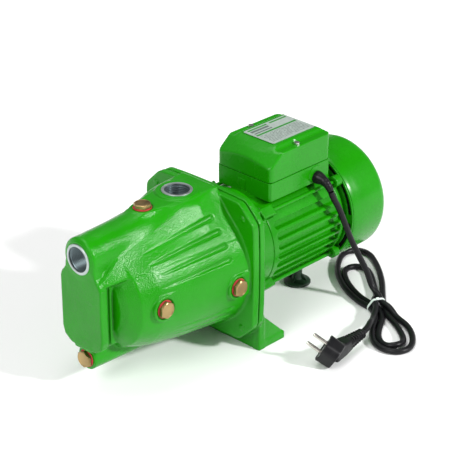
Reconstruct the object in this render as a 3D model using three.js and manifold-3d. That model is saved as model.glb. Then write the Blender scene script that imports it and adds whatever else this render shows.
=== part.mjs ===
// Self-priming shallow-well jet pump: cast pump casing, motor bracket, finned motor,
// terminal box, fan cover and mains cord.
// Millimetres. +X runs from the suction port to the fan cover, +Z up, floor at z = 0.

import * as THREE from "three";
import { mergeVertices } from "three/addons/utils/BufferGeometryUtils.js";
import Module from "manifold-3d";

const wasm = await Module();
wasm.setup();

// ---------------------------------------------------------------- driving dimensions

const AXIS_Z = 110;                 // height of the shaft line
const GAP = 0.3;                    // gap between pieces that touch

const SUCTION_FACE_X = -234.7;      // machined face of the suction port
const SUCTION_Z = 175.5;            // height of the suction port
const DISCHARGE_X = -76;            // vertical discharge port
const DISCHARGE_TOP_Z = 211.5;      // machined face of the discharge port
const PORT_BORE_R = 15.15;          // G1 thread, minor radius
const PORT_RING_R = 19.1;           // machined ring round each port
const PORT_RING_H = 2;

const SLAB_FRONT_X = -232.5;        // flat front face of the casing
const FLANGE_FRONT_X = -40.3;
const FLANGE_T = 9.5;
const FLANGE_REAR_X = FLANGE_FRONT_X + FLANGE_T;
const FLANGE_HALF = 94;             // half the octagon's size across flats
const FLANGE_SIDE_HALF = 92;        // the same at the ends of each arched side
const FLANGE_CORNER = 69;           // where each side ends and the corner cut starts

const BRACKET_FRONT_X = -28.3;
const BRACKET_FLANGE_T = 8;
const BRACKET_REAR_X = 24;
const BELL_R = 66;

const HOUSING_FRONT_X = 24.4;
const HOUSING_REAR_X = 150;
const HOUSING_BORE_R = 57;
const HOUSING_R = 62;
const FIN_TIP_R = 68;

const SHIELD_FRONT_X = 150.4;
const COVER_FRONT_X = 165.5;
const COVER_REAR_X = 232.3;
const COVER_R = 77;

const BOX_X0 = 37.9;                // terminal box
const BOX_X1 = 149.9;
const BOX_HALF_Y = 45.4;
const BOX_BOTTOM_Z = 168.5;
const BOX_SEAM_Z = 193;
const BOX_LEDGE_Z = 228.5;
const BOX_TOP_Z = 233;

const ROD_Y = 50;                   // tie rods, measured from the shaft line
const ROD_Z = 50.5;
const ROD_R = 2.4;

const CORD_D = 8;

// ---------------------------------------------------------------- colours and materials

const LOOKS = {
  green_paint: [0x3fae1a, 0.35, 0.1],
  dark_rubber: [0x1c1f1c, 0.7, 0],
  brass: [0xb39a6a, 0.35, 0.9],
  red_fibre: [0xc03030, 0.7, 0],
  grey_gasket: [0x2b2c2b, 0.8, 0],
  steel: [0xb9bcc0, 0.3, 0.9],
  zinc_steel: [0xc9cbc8, 0.35, 0.8],
  carbon: [0x2a2a2c, 0.5, 0.1],
  resin: [0xd8d2bd, 0.5, 0],
  lamination: [0x777c80, 0.5, 0.7],
  copper: [0xb5713a, 0.4, 0.7],
  fan_plastic: [0x222426, 0.6, 0],
  plate: [0xaebbb2, 0.35, 0.6],
  capacitor_can: [0xe8e8e4, 0.5, 0],
  terminal_plastic: [0xe6e2d2, 0.5, 0],
  cord_rubber: [0x1a1a1c, 0.6, 0],
  tie_plastic: [0xf2f2ee, 0.5, 0],
  nickel: [0xc9c6bd, 0.25, 1],
};

const model = new THREE.Group();

function addPart(name, look, shape) {
  const [color, roughness, metalness] = LOOKS[look];
  const material = new THREE.MeshStandardMaterial({ color, roughness, metalness });
  const geometry = shape instanceof THREE.BufferGeometry ? shape : geometryOf(shape);
  const mesh = new THREE.Mesh(geometry, material);
  mesh.name = name;
  model.add(mesh);
  return mesh;
}

// ---------------------------------------------------------------- shape helpers

function solid(geometry) {
  const bare = geometry.clone();
  bare.deleteAttribute("normal");
  bare.deleteAttribute("uv");
  const merged = mergeVertices(bare, 1e-4);
  return new wasm.Manifold(new wasm.Mesh({
    numProp: 3,
    vertProperties: new Float32Array(merged.attributes.position.array),
    triVerts: new Uint32Array(merged.index.array),
  }));
}

function geometryOf(manifold) {
  const mesh = manifold.getMesh();
  const geometry = new THREE.BufferGeometry();
  geometry.setAttribute("position", new THREE.BufferAttribute(mesh.vertProperties, 3));
  geometry.setIndex(new THREE.BufferAttribute(mesh.triVerts, 1));
  geometry.computeVertexNormals();
  return geometry;
}

function join(...pieces) {
  return pieces.reduce((whole, piece) => whole.add(piece));
}

function cut(body, ...tools) {
  return tools.reduce((left, tool) => left.subtract(tool), body);
}

function block(x0, x1, y0, y1, z0, z1) {
  const geometry = new THREE.BoxGeometry(x1 - x0, y1 - y0, z1 - z0);
  geometry.translate((x0 + x1) / 2, (y0 + y1) / 2, (z0 + z1) / 2);
  return solid(geometry);
}

function rodX(radius, x0, x1, y, z, sides = 24) {
  const geometry = new THREE.CylinderGeometry(radius, radius, x1 - x0, sides);
  geometry.rotateZ(-Math.PI / 2);
  geometry.translate((x0 + x1) / 2, y, z);
  return solid(geometry);
}

function rodY(radius, x, y0, y1, z, sides = 24) {
  const geometry = new THREE.CylinderGeometry(radius, radius, y1 - y0, sides);
  geometry.translate(x, (y0 + y1) / 2, z);
  return solid(geometry);
}

function rodZ(radius, x, y, z0, z1, sides = 24) {
  const geometry = new THREE.CylinderGeometry(radius, radius, z1 - z0, sides);
  geometry.rotateX(Math.PI / 2);
  geometry.translate(x, y, (z0 + z1) / 2);
  return solid(geometry);
}

// A closed profile of [radius, x] pairs turned about the shaft line.
function turnedX(profile, sides = 32, y = 0, z = AXIS_Z) {
  const closesOnItself = profile[0][0] > 0;
  const points = closesOnItself ? [...profile, profile[0]] : profile;
  const geometry = new THREE.LatheGeometry(points.map(([r, x]) => new THREE.Vector2(r, x)), sides);
  geometry.rotateZ(-Math.PI / 2);
  geometry.translate(0, y, z);
  const body = solid(geometry);
  return body.volume() < 0 ? solid(flipped(geometry)) : body;
}

function flipped(geometry) {
  const copy = geometry.clone();
  const index = copy.index.array;
  for (let i = 0; i < index.length; i += 3) {
    [index[i], index[i + 1]] = [index[i + 1], index[i]];
  }
  return copy;
}

function shapeOf(points) {
  return new THREE.Shape(points.map(([u, v]) => new THREE.Vector2(u, v)));
}

function extruded(shape, depth) {
  return new THREE.ExtrudeGeometry(shape, { depth, bevelEnabled: false, curveSegments: 6 });
}

// Outline of [y, z] points drawn out along X.
function prismX(points, x0, x1) {
  const geometry = extruded(shapeOf(points), x1 - x0);
  const basis = new THREE.Matrix4().makeBasis(
    new THREE.Vector3(0, 1, 0), new THREE.Vector3(0, 0, 1), new THREE.Vector3(1, 0, 0));
  geometry.applyMatrix4(basis);
  geometry.translate(x0, 0, 0);
  return solid(geometry);
}

// Outline of [x, z] points drawn out along Y.
function prismY(points, y0, y1) {
  const geometry = extruded(shapeOf(points), y1 - y0);
  const basis = new THREE.Matrix4().makeBasis(
    new THREE.Vector3(1, 0, 0), new THREE.Vector3(0, 0, 1), new THREE.Vector3(0, -1, 0));
  geometry.applyMatrix4(basis);
  geometry.translate(0, y1, 0);
  return solid(geometry);
}

// Outline of [x, y] points drawn out along Z.
function prismZ(points, z0, z1) {
  const geometry = extruded(shapeOf(points), z1 - z0);
  geometry.translate(0, 0, z0);
  return solid(geometry);
}

// Rectangle with cut corners, as a list of points.
function cutCornerRectangle(u0, u1, v0, v1, corner) {
  return [
    [u0 + corner, v0], [u1 - corner, v0], [u1, v0 + corner], [u1, v1 - corner],
    [u1 - corner, v1], [u0 + corner, v1], [u0, v1 - corner], [u0, v0 + corner],
  ];
}

// Skin over a list of rings with equal point counts, closed at both ends.
function lofted(rings) {
  const count = rings[0].length;
  const positions = rings.flat(2);
  const index = [];
  for (let r = 0; r + 1 < rings.length; r += 1) {
    for (let i = 0; i < count; i += 1) {
      const a = r * count + i;
      const b = r * count + (i + 1) % count;
      index.push(a, b, b + count, a, b + count, a + count);
    }
  }
  const last = (rings.length - 1) * count;
  for (let i = 1; i + 1 < count; i += 1) {
    index.push(0, i + 1, i);
    index.push(last, last + i, last + i + 1);
  }
  const geometry = new THREE.BufferGeometry();
  geometry.setAttribute("position", new THREE.Float32BufferAttribute(positions, 3));
  geometry.setIndex(index);
  const body = solid(geometry);
  return body.volume() < 0 ? solid(flipped(geometry)) : body;
}

// Round section swept along a curve, its radius changing along the way.
function taperedSweep(points, radii, sides) {
  const curve = new THREE.CatmullRomCurve3(points.map((p) => new THREE.Vector3(...p)));
  const steps = radii.length - 1;
  const frames = curve.computeFrenetFrames(steps, false);
  const rings = radii.map((radius, step) => {
    const centre = curve.getPointAt(step / steps);
    return Array.from({ length: sides }, (_, side) => {
      const angle = (side / sides) * 2 * Math.PI;
      const offset = frames.normals[step].clone().multiplyScalar(radius * Math.cos(angle));
      offset.addScaledVector(frames.binormals[step], radius * Math.sin(angle));
      return centre.clone().add(offset).toArray();
    });
  });
  return lofted(rings);
}

// The four places that mirror each other about the shaft line.
function fourCorners(y, z) {
  return [[-y, AXIS_Z + z], [y, AXIS_Z + z], [y, AXIS_Z - z], [-y, AXIS_Z - z]];
}

// Octagon with slightly arched sides, as [y, z] points, made smaller by inset.
function flangeOutline(inset) {
  const mid = FLANGE_HALF - inset;
  const side = FLANGE_SIDE_HALF - inset;
  const corner = FLANGE_CORNER;
  const quarter = [[mid, 0], [side, corner], [corner, side]];
  const outline = [];
  for (let turn = 0; turn < 4; turn += 1) {
    const c = Math.round(Math.cos(turn * Math.PI / 2));
    const s = Math.round(Math.sin(turn * Math.PI / 2));
    for (const [u, v] of quarter) {
      outline.push([u * c - v * s, AXIS_Z + u * s + v * c]);
    }
  }
  return outline;
}

// ---------------------------------------------------------------- service plugs

const PLUG_SHANK_R = 6.5;
const PLUG_BORE_R = 6.8;
const PLUG_SHANK_L = 8;
const PLUG_HEX_R = 11;
const PLUG_HEAD_H = 4.9;
const WASHER_R = 11.8;
const WASHER_T = 1.5;

const PLUGS = [
  { name: "fill_plug", washer: "fill_plug_washer", seat: [-132.5, 0, 206], out: [0, 0, 1] },
  { name: "drain_plug", washer: "drain_plug_washer", seat: [-226.5, 0, 42], out: [-1, 0, 0] },
  { name: "gauge_plug_front", washer: "gauge_washer_front", seat: [-166, -70.5, 111.5], out: [0, -1, 0] },
  { name: "gauge_plug_rear", washer: "gauge_washer_rear", seat: [-59.5, -86, 104.5], out: [0, -1, 0] },
];

// Turns a geometry built along +Y so that it points along out, then moves it to seat.
function aimed(geometry, seat, out) {
  const turn = new THREE.Quaternion();
  turn.setFromUnitVectors(new THREE.Vector3(0, 1, 0), new THREE.Vector3(...out));
  geometry.applyQuaternion(turn);
  geometry.translate(...seat);
  return geometry;
}

function addPlug({ name, washer, seat, out }) {
  const seal = new THREE.LatheGeometry([
    new THREE.Vector2(PLUG_BORE_R + GAP, GAP),
    new THREE.Vector2(WASHER_R, GAP),
    new THREE.Vector2(WASHER_R, WASHER_T),
    new THREE.Vector2(PLUG_BORE_R + GAP, WASHER_T),
    new THREE.Vector2(PLUG_BORE_R + GAP, GAP),
  ], 16);
  addPart(washer, "red_fibre", solid(aimed(seal, seat, out)));

  const under = WASHER_T + GAP;
  const head = new THREE.CylinderGeometry(PLUG_HEX_R, PLUG_HEX_R, PLUG_HEAD_H, 6);
  head.translate(0, under + PLUG_HEAD_H / 2, 0);
  const shank = new THREE.CylinderGeometry(PLUG_SHANK_R, PLUG_SHANK_R, PLUG_SHANK_L + under + 1, 12);
  shank.translate(0, (under + 1 - PLUG_SHANK_L) / 2, 0);
  addPart(name, "brass", join(solid(aimed(head, seat, out)), solid(aimed(shank, seat, out))));
}

function plugBore({ seat, out }, depth) {
  const bore = new THREE.CylinderGeometry(PLUG_BORE_R, PLUG_BORE_R, depth + 2, 12);
  bore.translate(0, 1 - depth / 2, 0);
  return solid(aimed(bore, seat, out));
}

// ---------------------------------------------------------------- pump casing

// Radius of the casing's round body at stations along the shaft line.
const BODY_PROFILE = [
  [0, -208], [36, -208], [50, -203], [62, -193], [71, -168], [76, -140], [80, -112],
  [83, -80], [85.5, -54], [87.5, -47], [92, FLANGE_FRONT_X], [92, FLANGE_FRONT_X + 2],
  [0, FLANGE_FRONT_X + 2],
];

function casingOutside() {
  const body = turnedX(BODY_PROFILE, 32);
  const flange = prismX(flangeOutline(0), FLANGE_FRONT_X, FLANGE_REAR_X);

  const slabOutline = [
    [-20, 58], [20, 58], [32, 66], [35, 76], [35, 144], [31, 151], [24, 158],
    [-24, 158], [-31, 151], [-35, 144], [-35, 76], [-32, 66],
  ];
  const slab = prismX(slabOutline, SLAB_FRONT_X, SLAB_FRONT_X + 10);
  const waist = prismX(cutCornerRectangle(-27, 27, 62, 160, 6), SLAB_FRONT_X + 9, -190);

  const neck = rodX(26, SLAB_FRONT_X, -120, 0, SUCTION_Z, 24);
  const neckWeb = prismX(cutCornerRectangle(-25, 25, 120, 178, 4), SLAB_FRONT_X + 1, -110);
  const suctionRing = rodX(PORT_RING_R, SUCTION_FACE_X, SLAB_FRONT_X + 1, 0, SUCTION_Z, 24);

  // Flat top that carries the fill plug and the discharge port, widening to the flange.
  const shelfSection = (x, half, top, base) => [
    [x, -half, top], [x, half, top], [x, half + 14, base], [x, -half - 14, base],
  ];
  const shelf = lofted([
    shelfSection(-152, 7, 201.4, 170),
    shelfSection(-143, 13, 205, 170),
    shelfSection(-118, 17, 206.6, 170),
    shelfSection(FLANGE_FRONT_X + 1, 29, 210.5, 180),
  ]);
  const boss = rodZ(26.5, DISCHARGE_X, 0, 150, DISCHARGE_TOP_Z - 1.5, 24);
  const dischargeRing = rodZ(PORT_RING_R, DISCHARGE_X, 0, 200, DISCHARGE_TOP_Z, 24);
  const fillPad = rodZ(14, PLUGS[0].seat[0], 0, 180, PLUGS[0].seat[2], 20);

  const drainBoss = rodX(15, PLUGS[1].seat[0], -128, 0, PLUGS[1].seat[2], 20);
  const drainWeb = block(-222, -120, -12, 12, 42, 80);
  const drainFoot = block(-222, -190, -15, 15, 42, 64);

  const sidePads = [PLUGS[2], PLUGS[3]].map(({ seat }) => rodY(14, seat[0], seat[1], -40, seat[2], 20));
  const [padX, padY, padZ] = PLUGS[3].seat;
  const padTail = block(padX, FLANGE_FRONT_X + 1, padY, -40, padZ - 14, padZ + 14);
  return join(body, flange, slab, waist, neck, neckWeb, suctionRing, shelf, boss, dischargeRing,
    fillPad, drainBoss, drainWeb, drainFoot, ...sidePads, padTail);
}

function casingInside() {
  const suctionBore = rodX(PORT_BORE_R, SUCTION_FACE_X - 1, -160, 0, SUCTION_Z, 24);
  const suctionDrop = rodZ(15, -168, 0, 100, SUCTION_Z, 16);
  const suctionChamber = block(-184, -152, -38, 38, 84, 146);
  const frontChamber = join(block(-217, -190, -20, 20, 66, 146), block(-201, -190, -34, 34, 82, 138));
  const lowerChannel = block(-217, -140, -14, 14, 62, 78);
  const nozzleSeat = rodX(8.3, -191, -183, 0, AXIS_Z, 16);
  const venturiSeat = rodX(14.6, -153, -145, 0, AXIS_Z, 24);
  const mainChamber = turnedX([
    [0, -146], [64, -146], [72, -118], [77, -80], [78, FLANGE_REAR_X + 1],
    [0, FLANGE_REAR_X + 1],
  ], 28);
  const dischargeBore = rodZ(PORT_BORE_R, DISCHARGE_X, 0, 165, DISCHARGE_TOP_Z + 1, 24);
  const drainRise = rodZ(5, -208, 0, 40, 66, 12);
  const fillSpotFace = rodZ(12.6, PLUGS[0].seat[0], 0, PLUGS[0].seat[2], 220, 20);
  const gaugeSpotFaces = [PLUGS[2], PLUGS[3]].map(({ seat }) => (
    rodY(12.6, seat[0], seat[1] - 10, seat[1], seat[2], 20)));
  const bolts = fourCorners(74, 74).map(([y, z]) => rodX(3.6, -45, -25, y, z, 10));
  return [
    suctionBore, suctionDrop, suctionChamber, frontChamber, lowerChannel, nozzleSeat, venturiSeat,
    mainChamber, dischargeBore, drainRise, fillSpotFace,
    ...gaugeSpotFaces, ...bolts,
    plugBore(PLUGS[0], 36), plugBore(PLUGS[1], 22), plugBore(PLUGS[2], 48), plugBore(PLUGS[3], 14),
  ];
}

function addCasing() {
  addPart("pump_casing", "green_paint", cut(casingOutside(), ...casingInside()));
  const ringX0 = FLANGE_REAR_X + GAP;
  const ringX1 = BRACKET_FRONT_X - GAP;
  addPart("casing_gasket", "grey_gasket",
    turnedX([[79.5, ringX0], [86, ringX0], [86, ringX1], [79.5, ringX1]], 24));
  PLUGS.forEach(addPlug);
  fourCorners(74, 74).forEach(([y, z], number) => {
    const shank = rodX(3.2, FLANGE_FRONT_X - 1.2, -18, y, z, 10);
    const head = rodX(6.2, BRACKET_FRONT_X + BRACKET_FLANGE_T + GAP, -15, y, z, 6);
    addPart(`casing_bolt_${number + 1}`, "zinc_steel", join(shank, head));
  });
}

// ---------------------------------------------------------------- ejector and impeller

function addHydraulics() {
  addPart("ejector_nozzle", "resin", turnedX([
    [6.5, -196], [10.5, -196], [10.5, -190.4], [8, -190.4], [8, -181], [4.6, -168], [3.2, -168],
    [3.2, -172],
  ], 16));
  addPart("venturi_tube", "resin", turnedX([
    [9, -165], [13, -165], [13, -140], [18.5, -84], [18.5, -63], [14.5, -63], [6, -146],
  ], 20));
  addPart("venturi_o_ring", "grey_gasket", turnedX([
    [13.3, -150], [14.2, -150], [14.2, -148], [13.3, -148],
  ], 16));
  addPart("diffuser", "resin", turnedX([
    [18.9, -68], [72, -66], [72, -36], [66, -36], [66, -61.8], [18.9, -61.8],
  ], 24));

  const backShroud = turnedX([[7.3, -49.5], [62, -49.5], [62, -46], [7.3, -46]], 28);
  const hub = turnedX([[7.3, -57], [13, -57], [13, -46], [7.3, -46]], 16);
  const frontShroud = turnedX([[17.5, -60.6], [22, -60.6], [62, -57], [62, -54.5], [17.5, -57.4]], 28);
  const vanes = Array.from({ length: 6 }, (_, number) => {
    const start = (number / 6) * 2 * Math.PI;
    const centre = (t) => {
      const radius = 14 + 46.5 * t;
      const angle = start - 1.3 * t;
      return [radius * Math.cos(angle), radius * Math.sin(angle)];
    };
    const half = 1.3;
    const left = [];
    const right = [];
    for (let step = 0; step <= 3; step += 1) {
      const t = step / 3;
      const [y, z] = centre(t);
      const [y1, z1] = centre(t + 0.01);
      const length = Math.hypot(y1 - y, z1 - z);
      const normal = [-(z1 - z) / length, (y1 - y) / length];
      left.push([y + half * normal[0], AXIS_Z + z + half * normal[1]]);
      right.unshift([y - half * normal[0], AXIS_Z + z - half * normal[1]]);
    }
    return prismX([...left, ...right], -58, -48);
  });
  const vaneRing = turnedX([[12.5, -57.6], [61.8, -56], [61.8, -49], [12.5, -49]], 28);
  const trimmed = vanes.map((vane) => vane.intersect(vaneRing));
  addPart("impeller", "brass", join(backShroud, hub, frontShroud, ...trimmed));
  const nutBore = rodX(6.3, -65, -57, 0, AXIS_Z, 16);
  addPart("impeller_nut", "steel", cut(rodX(9, -64, -57.4, 0, AXIS_Z, 6), nutBore));
  addPart("seal_head", "carbon", turnedX([
    [7.3, -45.6], [13, -45.6], [15, -40], [15, -31.9], [10, -31.9], [7.3, -36],
  ], 16));
  addPart("seal_seat", "capacitor_can", turnedX([
    [9.4, -31.5], [13.5, -31.5], [14, -27], [14, -22.4], [9.4, -22.4],
  ], 16));
}

// ---------------------------------------------------------------- bracket and foot

// Blocks on the bell that take the tie rods' front ends, grown on every side by extra.
function rodLugs(extra) {
  return fourCorners(ROD_Y, ROD_Z).map(([y, z]) => {
    const outward = Math.atan2(z - AXIS_Z, y);
    const geometry = new THREE.BoxGeometry(20 + 2 * extra, 15 + 2 * extra, 13 + 2 * extra);
    geometry.rotateX(outward);
    geometry.translate(27, y * 0.97, AXIS_Z + (z - AXIS_Z) * 0.97);
    return solid(geometry);
  });
}

function addBracket() {
  const front = BRACKET_FRONT_X;
  const plateRear = front + BRACKET_FLANGE_T;
  const plate = prismX(flangeOutline(0.6), front, plateRear);
  const bell = turnedX([
    [60.5, plateRear - 1], [72, plateRear - 1], [68, plateRear + 6], [BELL_R, BRACKET_REAR_X],
    [60.5, BRACKET_REAR_X],
  ], 32);
  const hub = rodX(25, plateRear - 1, 18, 0, AXIS_Z, 24);
  const lugs = rodLugs(0);

  const base = prismZ(cutCornerRectangle(-18.5, 24, -85, 85, 6), 0, 9);
  const frontWall = prismX([
    [-85, 0], [85, 0], [85, 50], [60, 60], [-60, 60], [-85, 50],
  ], plateRear - 0.5, plateRear + 7);
  const gusset = [[plateRear, 0], [24, 0], [24, 9], [-6, 30], [plateRear, 52]];
  const gussets = [[-85, -77], [77, 85], [-24, -16], [16, 24]].map(([y0, y1]) => prismY(gusset, y0, y1));

  const bores = [
    rodX(9.2, front - 1, 30, 0, AXIS_Z, 16),
    rodX(14.3, front - 1, -22.1, 0, AXIS_Z, 20),
    rodX(20.3, 3.7, 30, 0, AXIS_Z, 24),
    ...fourCorners(74, 74).map(([y, z]) => rodX(3.6, front - 1, -15, y, z, 10)),
    ...fourCorners(ROD_Y, ROD_Z).map(([y, z]) => rodX(ROD_R + GAP, 18, 40, y, z, 10)),
    ...[-74, 74].map((y) => rodX(7.6, plateRear, -9, y, AXIS_Z - 74, 12)),
    rodZ(4.5, 6, -66, -1, 10, 12),
    rodZ(4.5, 6, 66, -1, 10, 12),
  ];
  const whole = join(plate, bell, hub, ...lugs, base, frontWall, ...gussets);
  addPart("motor_bracket", "green_paint", cut(whole, ...bores));

  const stem = turnedX([
    [0, 0], [18, 0], [18, 4], [14, 6.5], [6.5, 7], [5.5, 12], [5.5, 47.6], [0, 47.6],
  ], 16, 0, 0);
  const upright = geometryOf(stem);
  upright.rotateY(-Math.PI / 2);
  upright.translate(143, 0, 0);
  const ribs = [block(131, 155, -1.2, 1.2, 6, 12), block(141.8, 144.2, -12, 12, 6, 12)];
  const collar = rodZ(6.9, 143, 0, 38, 47.6, 12);
  addPart("rear_foot", "dark_rubber", join(solid(upright), collar, ...ribs));
}

// ---------------------------------------------------------------- shaft line and bearings

function addShaftLine() {
  addPart("shaft", "steel", turnedX([
    [0, -66], [6, -66], [6, -57.2], [7, -57], [7, -21], [8.2, -21], [8.2, 3], [8.5, 3],
    [8.5, 16.5], [11, 17], [11, 34], [8.4, 34.4], [8.4, 148], [7.5, 148], [7.5, 162.5], [6, 163], [6, 205],
    [0, 205],
  ], 16));
  addPart("front_bearing_outer", "steel", turnedX([[16, 4], [20, 4], [20, 16], [16, 16]], 20));
  addPart("front_bearing_inner", "steel", turnedX([[8.8, 4], [12, 4], [12, 16], [8.8, 16]], 16));
  addPart("rear_bearing_outer", "steel", turnedX([[14, 151], [17.2, 151], [17.2, 162], [14, 162]], 20));
  addPart("rear_bearing_inner", "steel", turnedX([[7.8, 151], [11, 151], [11, 162], [7.8, 162]], 16));

  const core = turnedX([[8.7, 48], [30.3, 48], [30.3, 128], [8.7, 128]], 24);
  const endRings = [[40, 48.5], [127.5, 136]].map(([x0, x1]) => (
    turnedX([[17, x0], [28, x0], [28, x1], [17, x1]], 20)));
  addPart("rotor", "lamination", join(core, ...endRings));
  addPart("cooling_fan", "fan_plastic", coolingFan());
}

function coolingFan() {
  const hub = turnedX([[6.3, 178], [13, 178], [13, 204], [6.3, 204]], 16);
  const disc = turnedX([[10, 178], [50, 178], [50, 180.5], [10, 180.5]], 24);
  const blades = Array.from({ length: 7 }, (_, number) => {
    const geometry = new THREE.BoxGeometry(20, 2, 39.5);
    geometry.translate(190, 0, 30);
    geometry.rotateX((number / 7) * 2 * Math.PI);
    geometry.translate(0, 0, AXIS_Z);
    return solid(geometry);
  });
  return join(hub, disc, ...blades);
}

// ---------------------------------------------------------------- motor

const SLOT_COUNT = 12;

function addMotor() {
  const slotCuts = [];
  const bars = [];
  for (let number = 0; number < SLOT_COUNT; number += 1) {
    const angle = (number / SLOT_COUNT) * 2 * Math.PI;
    const slot = new THREE.BoxGeometry(100, 7, 17);
    slot.translate(88, 0, 37.5);
    slot.rotateX(angle);
    slot.translate(0, 0, AXIS_Z);
    slotCuts.push(solid(slot));
    const bar = new THREE.BoxGeometry(86, 6.2, 10.5);
    bar.translate(88, 0, 40);
    bar.rotateX(angle);
    bar.translate(0, 0, AXIS_Z);
    bars.push(solid(bar));
  }
  const core = turnedX([[31, 48], [56.6, 48], [56.6, 128], [31, 128]], 24);
  addPart("stator_core", "lamination", cut(core, ...slotCuts));
  const endTurns = [[31, 47.5], [128.5, 145]].map(([x0, x1]) => turnedX([
    [35, x0 + 3], [38, x0], [46, x0], [49, x0 + 3], [49, x1], [35, x1],
  ], 24));
  addPart("stator_winding", "copper", join(...bars, ...endTurns));

  const x0 = HOUSING_FRONT_X;
  const x1 = HOUSING_REAR_X;
  const shell = rodX(HOUSING_R, x0, x1, 0, AXIS_Z, 32);
  const finRows = [-39, -26, -13, 0, 13, 26, 39, 52];
  const fins = finRows.map((dz) => {
    const tip = Math.sqrt(FIN_TIP_R ** 2 - dz ** 2) - 0.5;
    return block(x0 + 6, x1 - 2, -tip, tip, AXIS_Z + dz - 2, AXIS_Z + dz + 2);
  });
  const rails = [-1, 1].map((side) => {
    const [inner, outer] = [33 * side, 46 * side].sort((a, b) => a - b);
    return block(x0, x1, inner, outer, 53.5, 70);
  });
  const seat = block(60, 130, -30, 30, 160, BOX_BOTTOM_Z + 1.5);
  const frontCollar = rodX(FIN_TIP_R - 0.5, x0, x0 + 3, 0, AXIS_Z, 32);
  const bore = rodX(HOUSING_BORE_R, x0 - 1, x1 + 1, 0, AXIS_Z, 32);
  const housing = cut(join(shell, ...fins, ...rails, seat, frontCollar), bore, ...rodLugs(GAP + 0.2));
  addPart("motor_housing", "green_paint", housing);

  fourCorners(ROD_Y, ROD_Z).forEach(([y, z], number) => {
    const rod = rodX(ROD_R, 20, 165.2, y, z, 8);
    const nut = rodX(4.6, 161.4, 164.6, y, z, 6);
    addPart(`tie_rod_${number + 1}`, "green_paint", join(rod, nut));
  });
}

// ---------------------------------------------------------------- rear end shield and fan cover

const COVER_SCREW_R = 59;
const COVER_SCREW_ANGLES = [90, 210, 330].map((degrees) => degrees * Math.PI / 180);

function screwPlaces() {
  return COVER_SCREW_ANGLES.map((angle) => [
    COVER_SCREW_R * Math.cos(angle), AXIS_Z + COVER_SCREW_R * Math.sin(angle),
  ]);
}

function addRearEnd() {
  const x0 = SHIELD_FRONT_X;
  const wall = COVER_REAR_X - 2;
  const disc = turnedX([
    [0, x0 + 8], [56, x0 + 8], [56, x0 - 4], [56.6, x0 - 4], [56.6, x0], [66, x0], [66, x0 + 6],
    [60, x0 + 13], [24, x0 + 15.5], [0, x0 + 15.5],
  ], 32);
  const bearingHouse = rodX(22, x0 - 0.2, x0 + 13, 0, AXIS_Z, 20);
  const lugs = fourCorners(ROD_Y, ROD_Z).map(([y, z]) => rodX(7.5, x0, 161, y, z, 10));
  const lugWebs = fourCorners(ROD_Y - 8, ROD_Z - 8).map(([y, z]) => rodX(8, x0, x0 + 7, y, z, 10));
  const tabs = [0, 90, 180, 270].map((degrees) => {
    const geometry = new THREE.BoxGeometry(14, 16, 14);
    geometry.translate(x0 + 12, 0, 63.5);
    geometry.rotateX(degrees * Math.PI / 180);
    geometry.translate(0, 0, AXIS_Z);
    return solid(geometry);
  });
  const tabLimit = turnedX([[50, x0], [72.4, x0], [72.4, 190], [50, 190]], 32);
  const trimmedTabs = tabs.map((tab) => tab.intersect(tabLimit));
  const pillars = screwPlaces().map(([y, z]) => rodX(4.2, x0 + 8, wall - GAP, y, z, 10));
  const bores = [
    rodX(17.5, x0 - 5, 162.3, 0, AXIS_Z, 24),
    rodX(8.2, x0, 180, 0, AXIS_Z, 16),
    ...fourCorners(ROD_Y, ROD_Z).map(([y, z]) => rodX(ROD_R + GAP, x0 - 1, 170, y, z, 10)),
    ...screwPlaces().map(([y, z]) => rodX(1.9, 212, 240, y, z, 8)),
  ];
  const shield = cut(join(disc, bearingHouse, ...lugs, ...lugWebs, ...trimmedTabs, ...pillars), ...bores);
  addPart("rear_end_shield", "green_paint", shield);

  const round = 14;
  const outer = [[COVER_R - 2, COVER_FRONT_X], [COVER_R, COVER_FRONT_X + 16]];
  const inner = [[COVER_R - 4, COVER_FRONT_X], [COVER_R - 2, COVER_FRONT_X + 16]];
  for (let step = 0; step <= 4; step += 1) {
    const angle = (step / 4) * Math.PI / 2;
    const along = COVER_REAR_X - round;
    outer.push([COVER_R - round + round * Math.cos(angle), along + round * Math.sin(angle)]);
    inner.push([COVER_R - round + (round - 2) * Math.cos(angle), along + (round - 2) * Math.sin(angle)]);
  }
  const shell = turnedX([
    [0, COVER_REAR_X], ...outer.reverse(), ...inner, [0, COVER_REAR_X - 2],
  ], 36);
  const slots = Array.from({ length: 12 }, (_, number) => {
    const geometry = new THREE.BoxGeometry(10, 3.6, 32);
    geometry.translate(COVER_REAR_X, 0, 34);
    geometry.rotateX(((number + 0.5) / 12) * 2 * Math.PI);
    geometry.translate(0, 0, AXIS_Z);
    return solid(geometry);
  });
  const screwHoles = screwPlaces().map(([y, z]) => rodX(2.2, 228, 236, y, z, 8));
  addPart("fan_cover", "green_paint", cut(shell, ...slots, ...screwHoles));
  screwPlaces().forEach(([y, z], number) => {
    const shank = rodX(1.6, 214, COVER_REAR_X + 1, y, z, 8);
    const head = rodX(3.6, COVER_REAR_X + GAP, COVER_REAR_X + 2.4, y, z, 12);
    addPart(`fan_cover_screw_${number + 1}`, "zinc_steel", join(shank, head));
  });
}

// ---------------------------------------------------------------- terminal box

const BOX_SCREW_X = 93;
const BOX_SCREW_Y = 39;
const GLAND_X = 123;
const GLAND_Z = 176;

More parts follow.
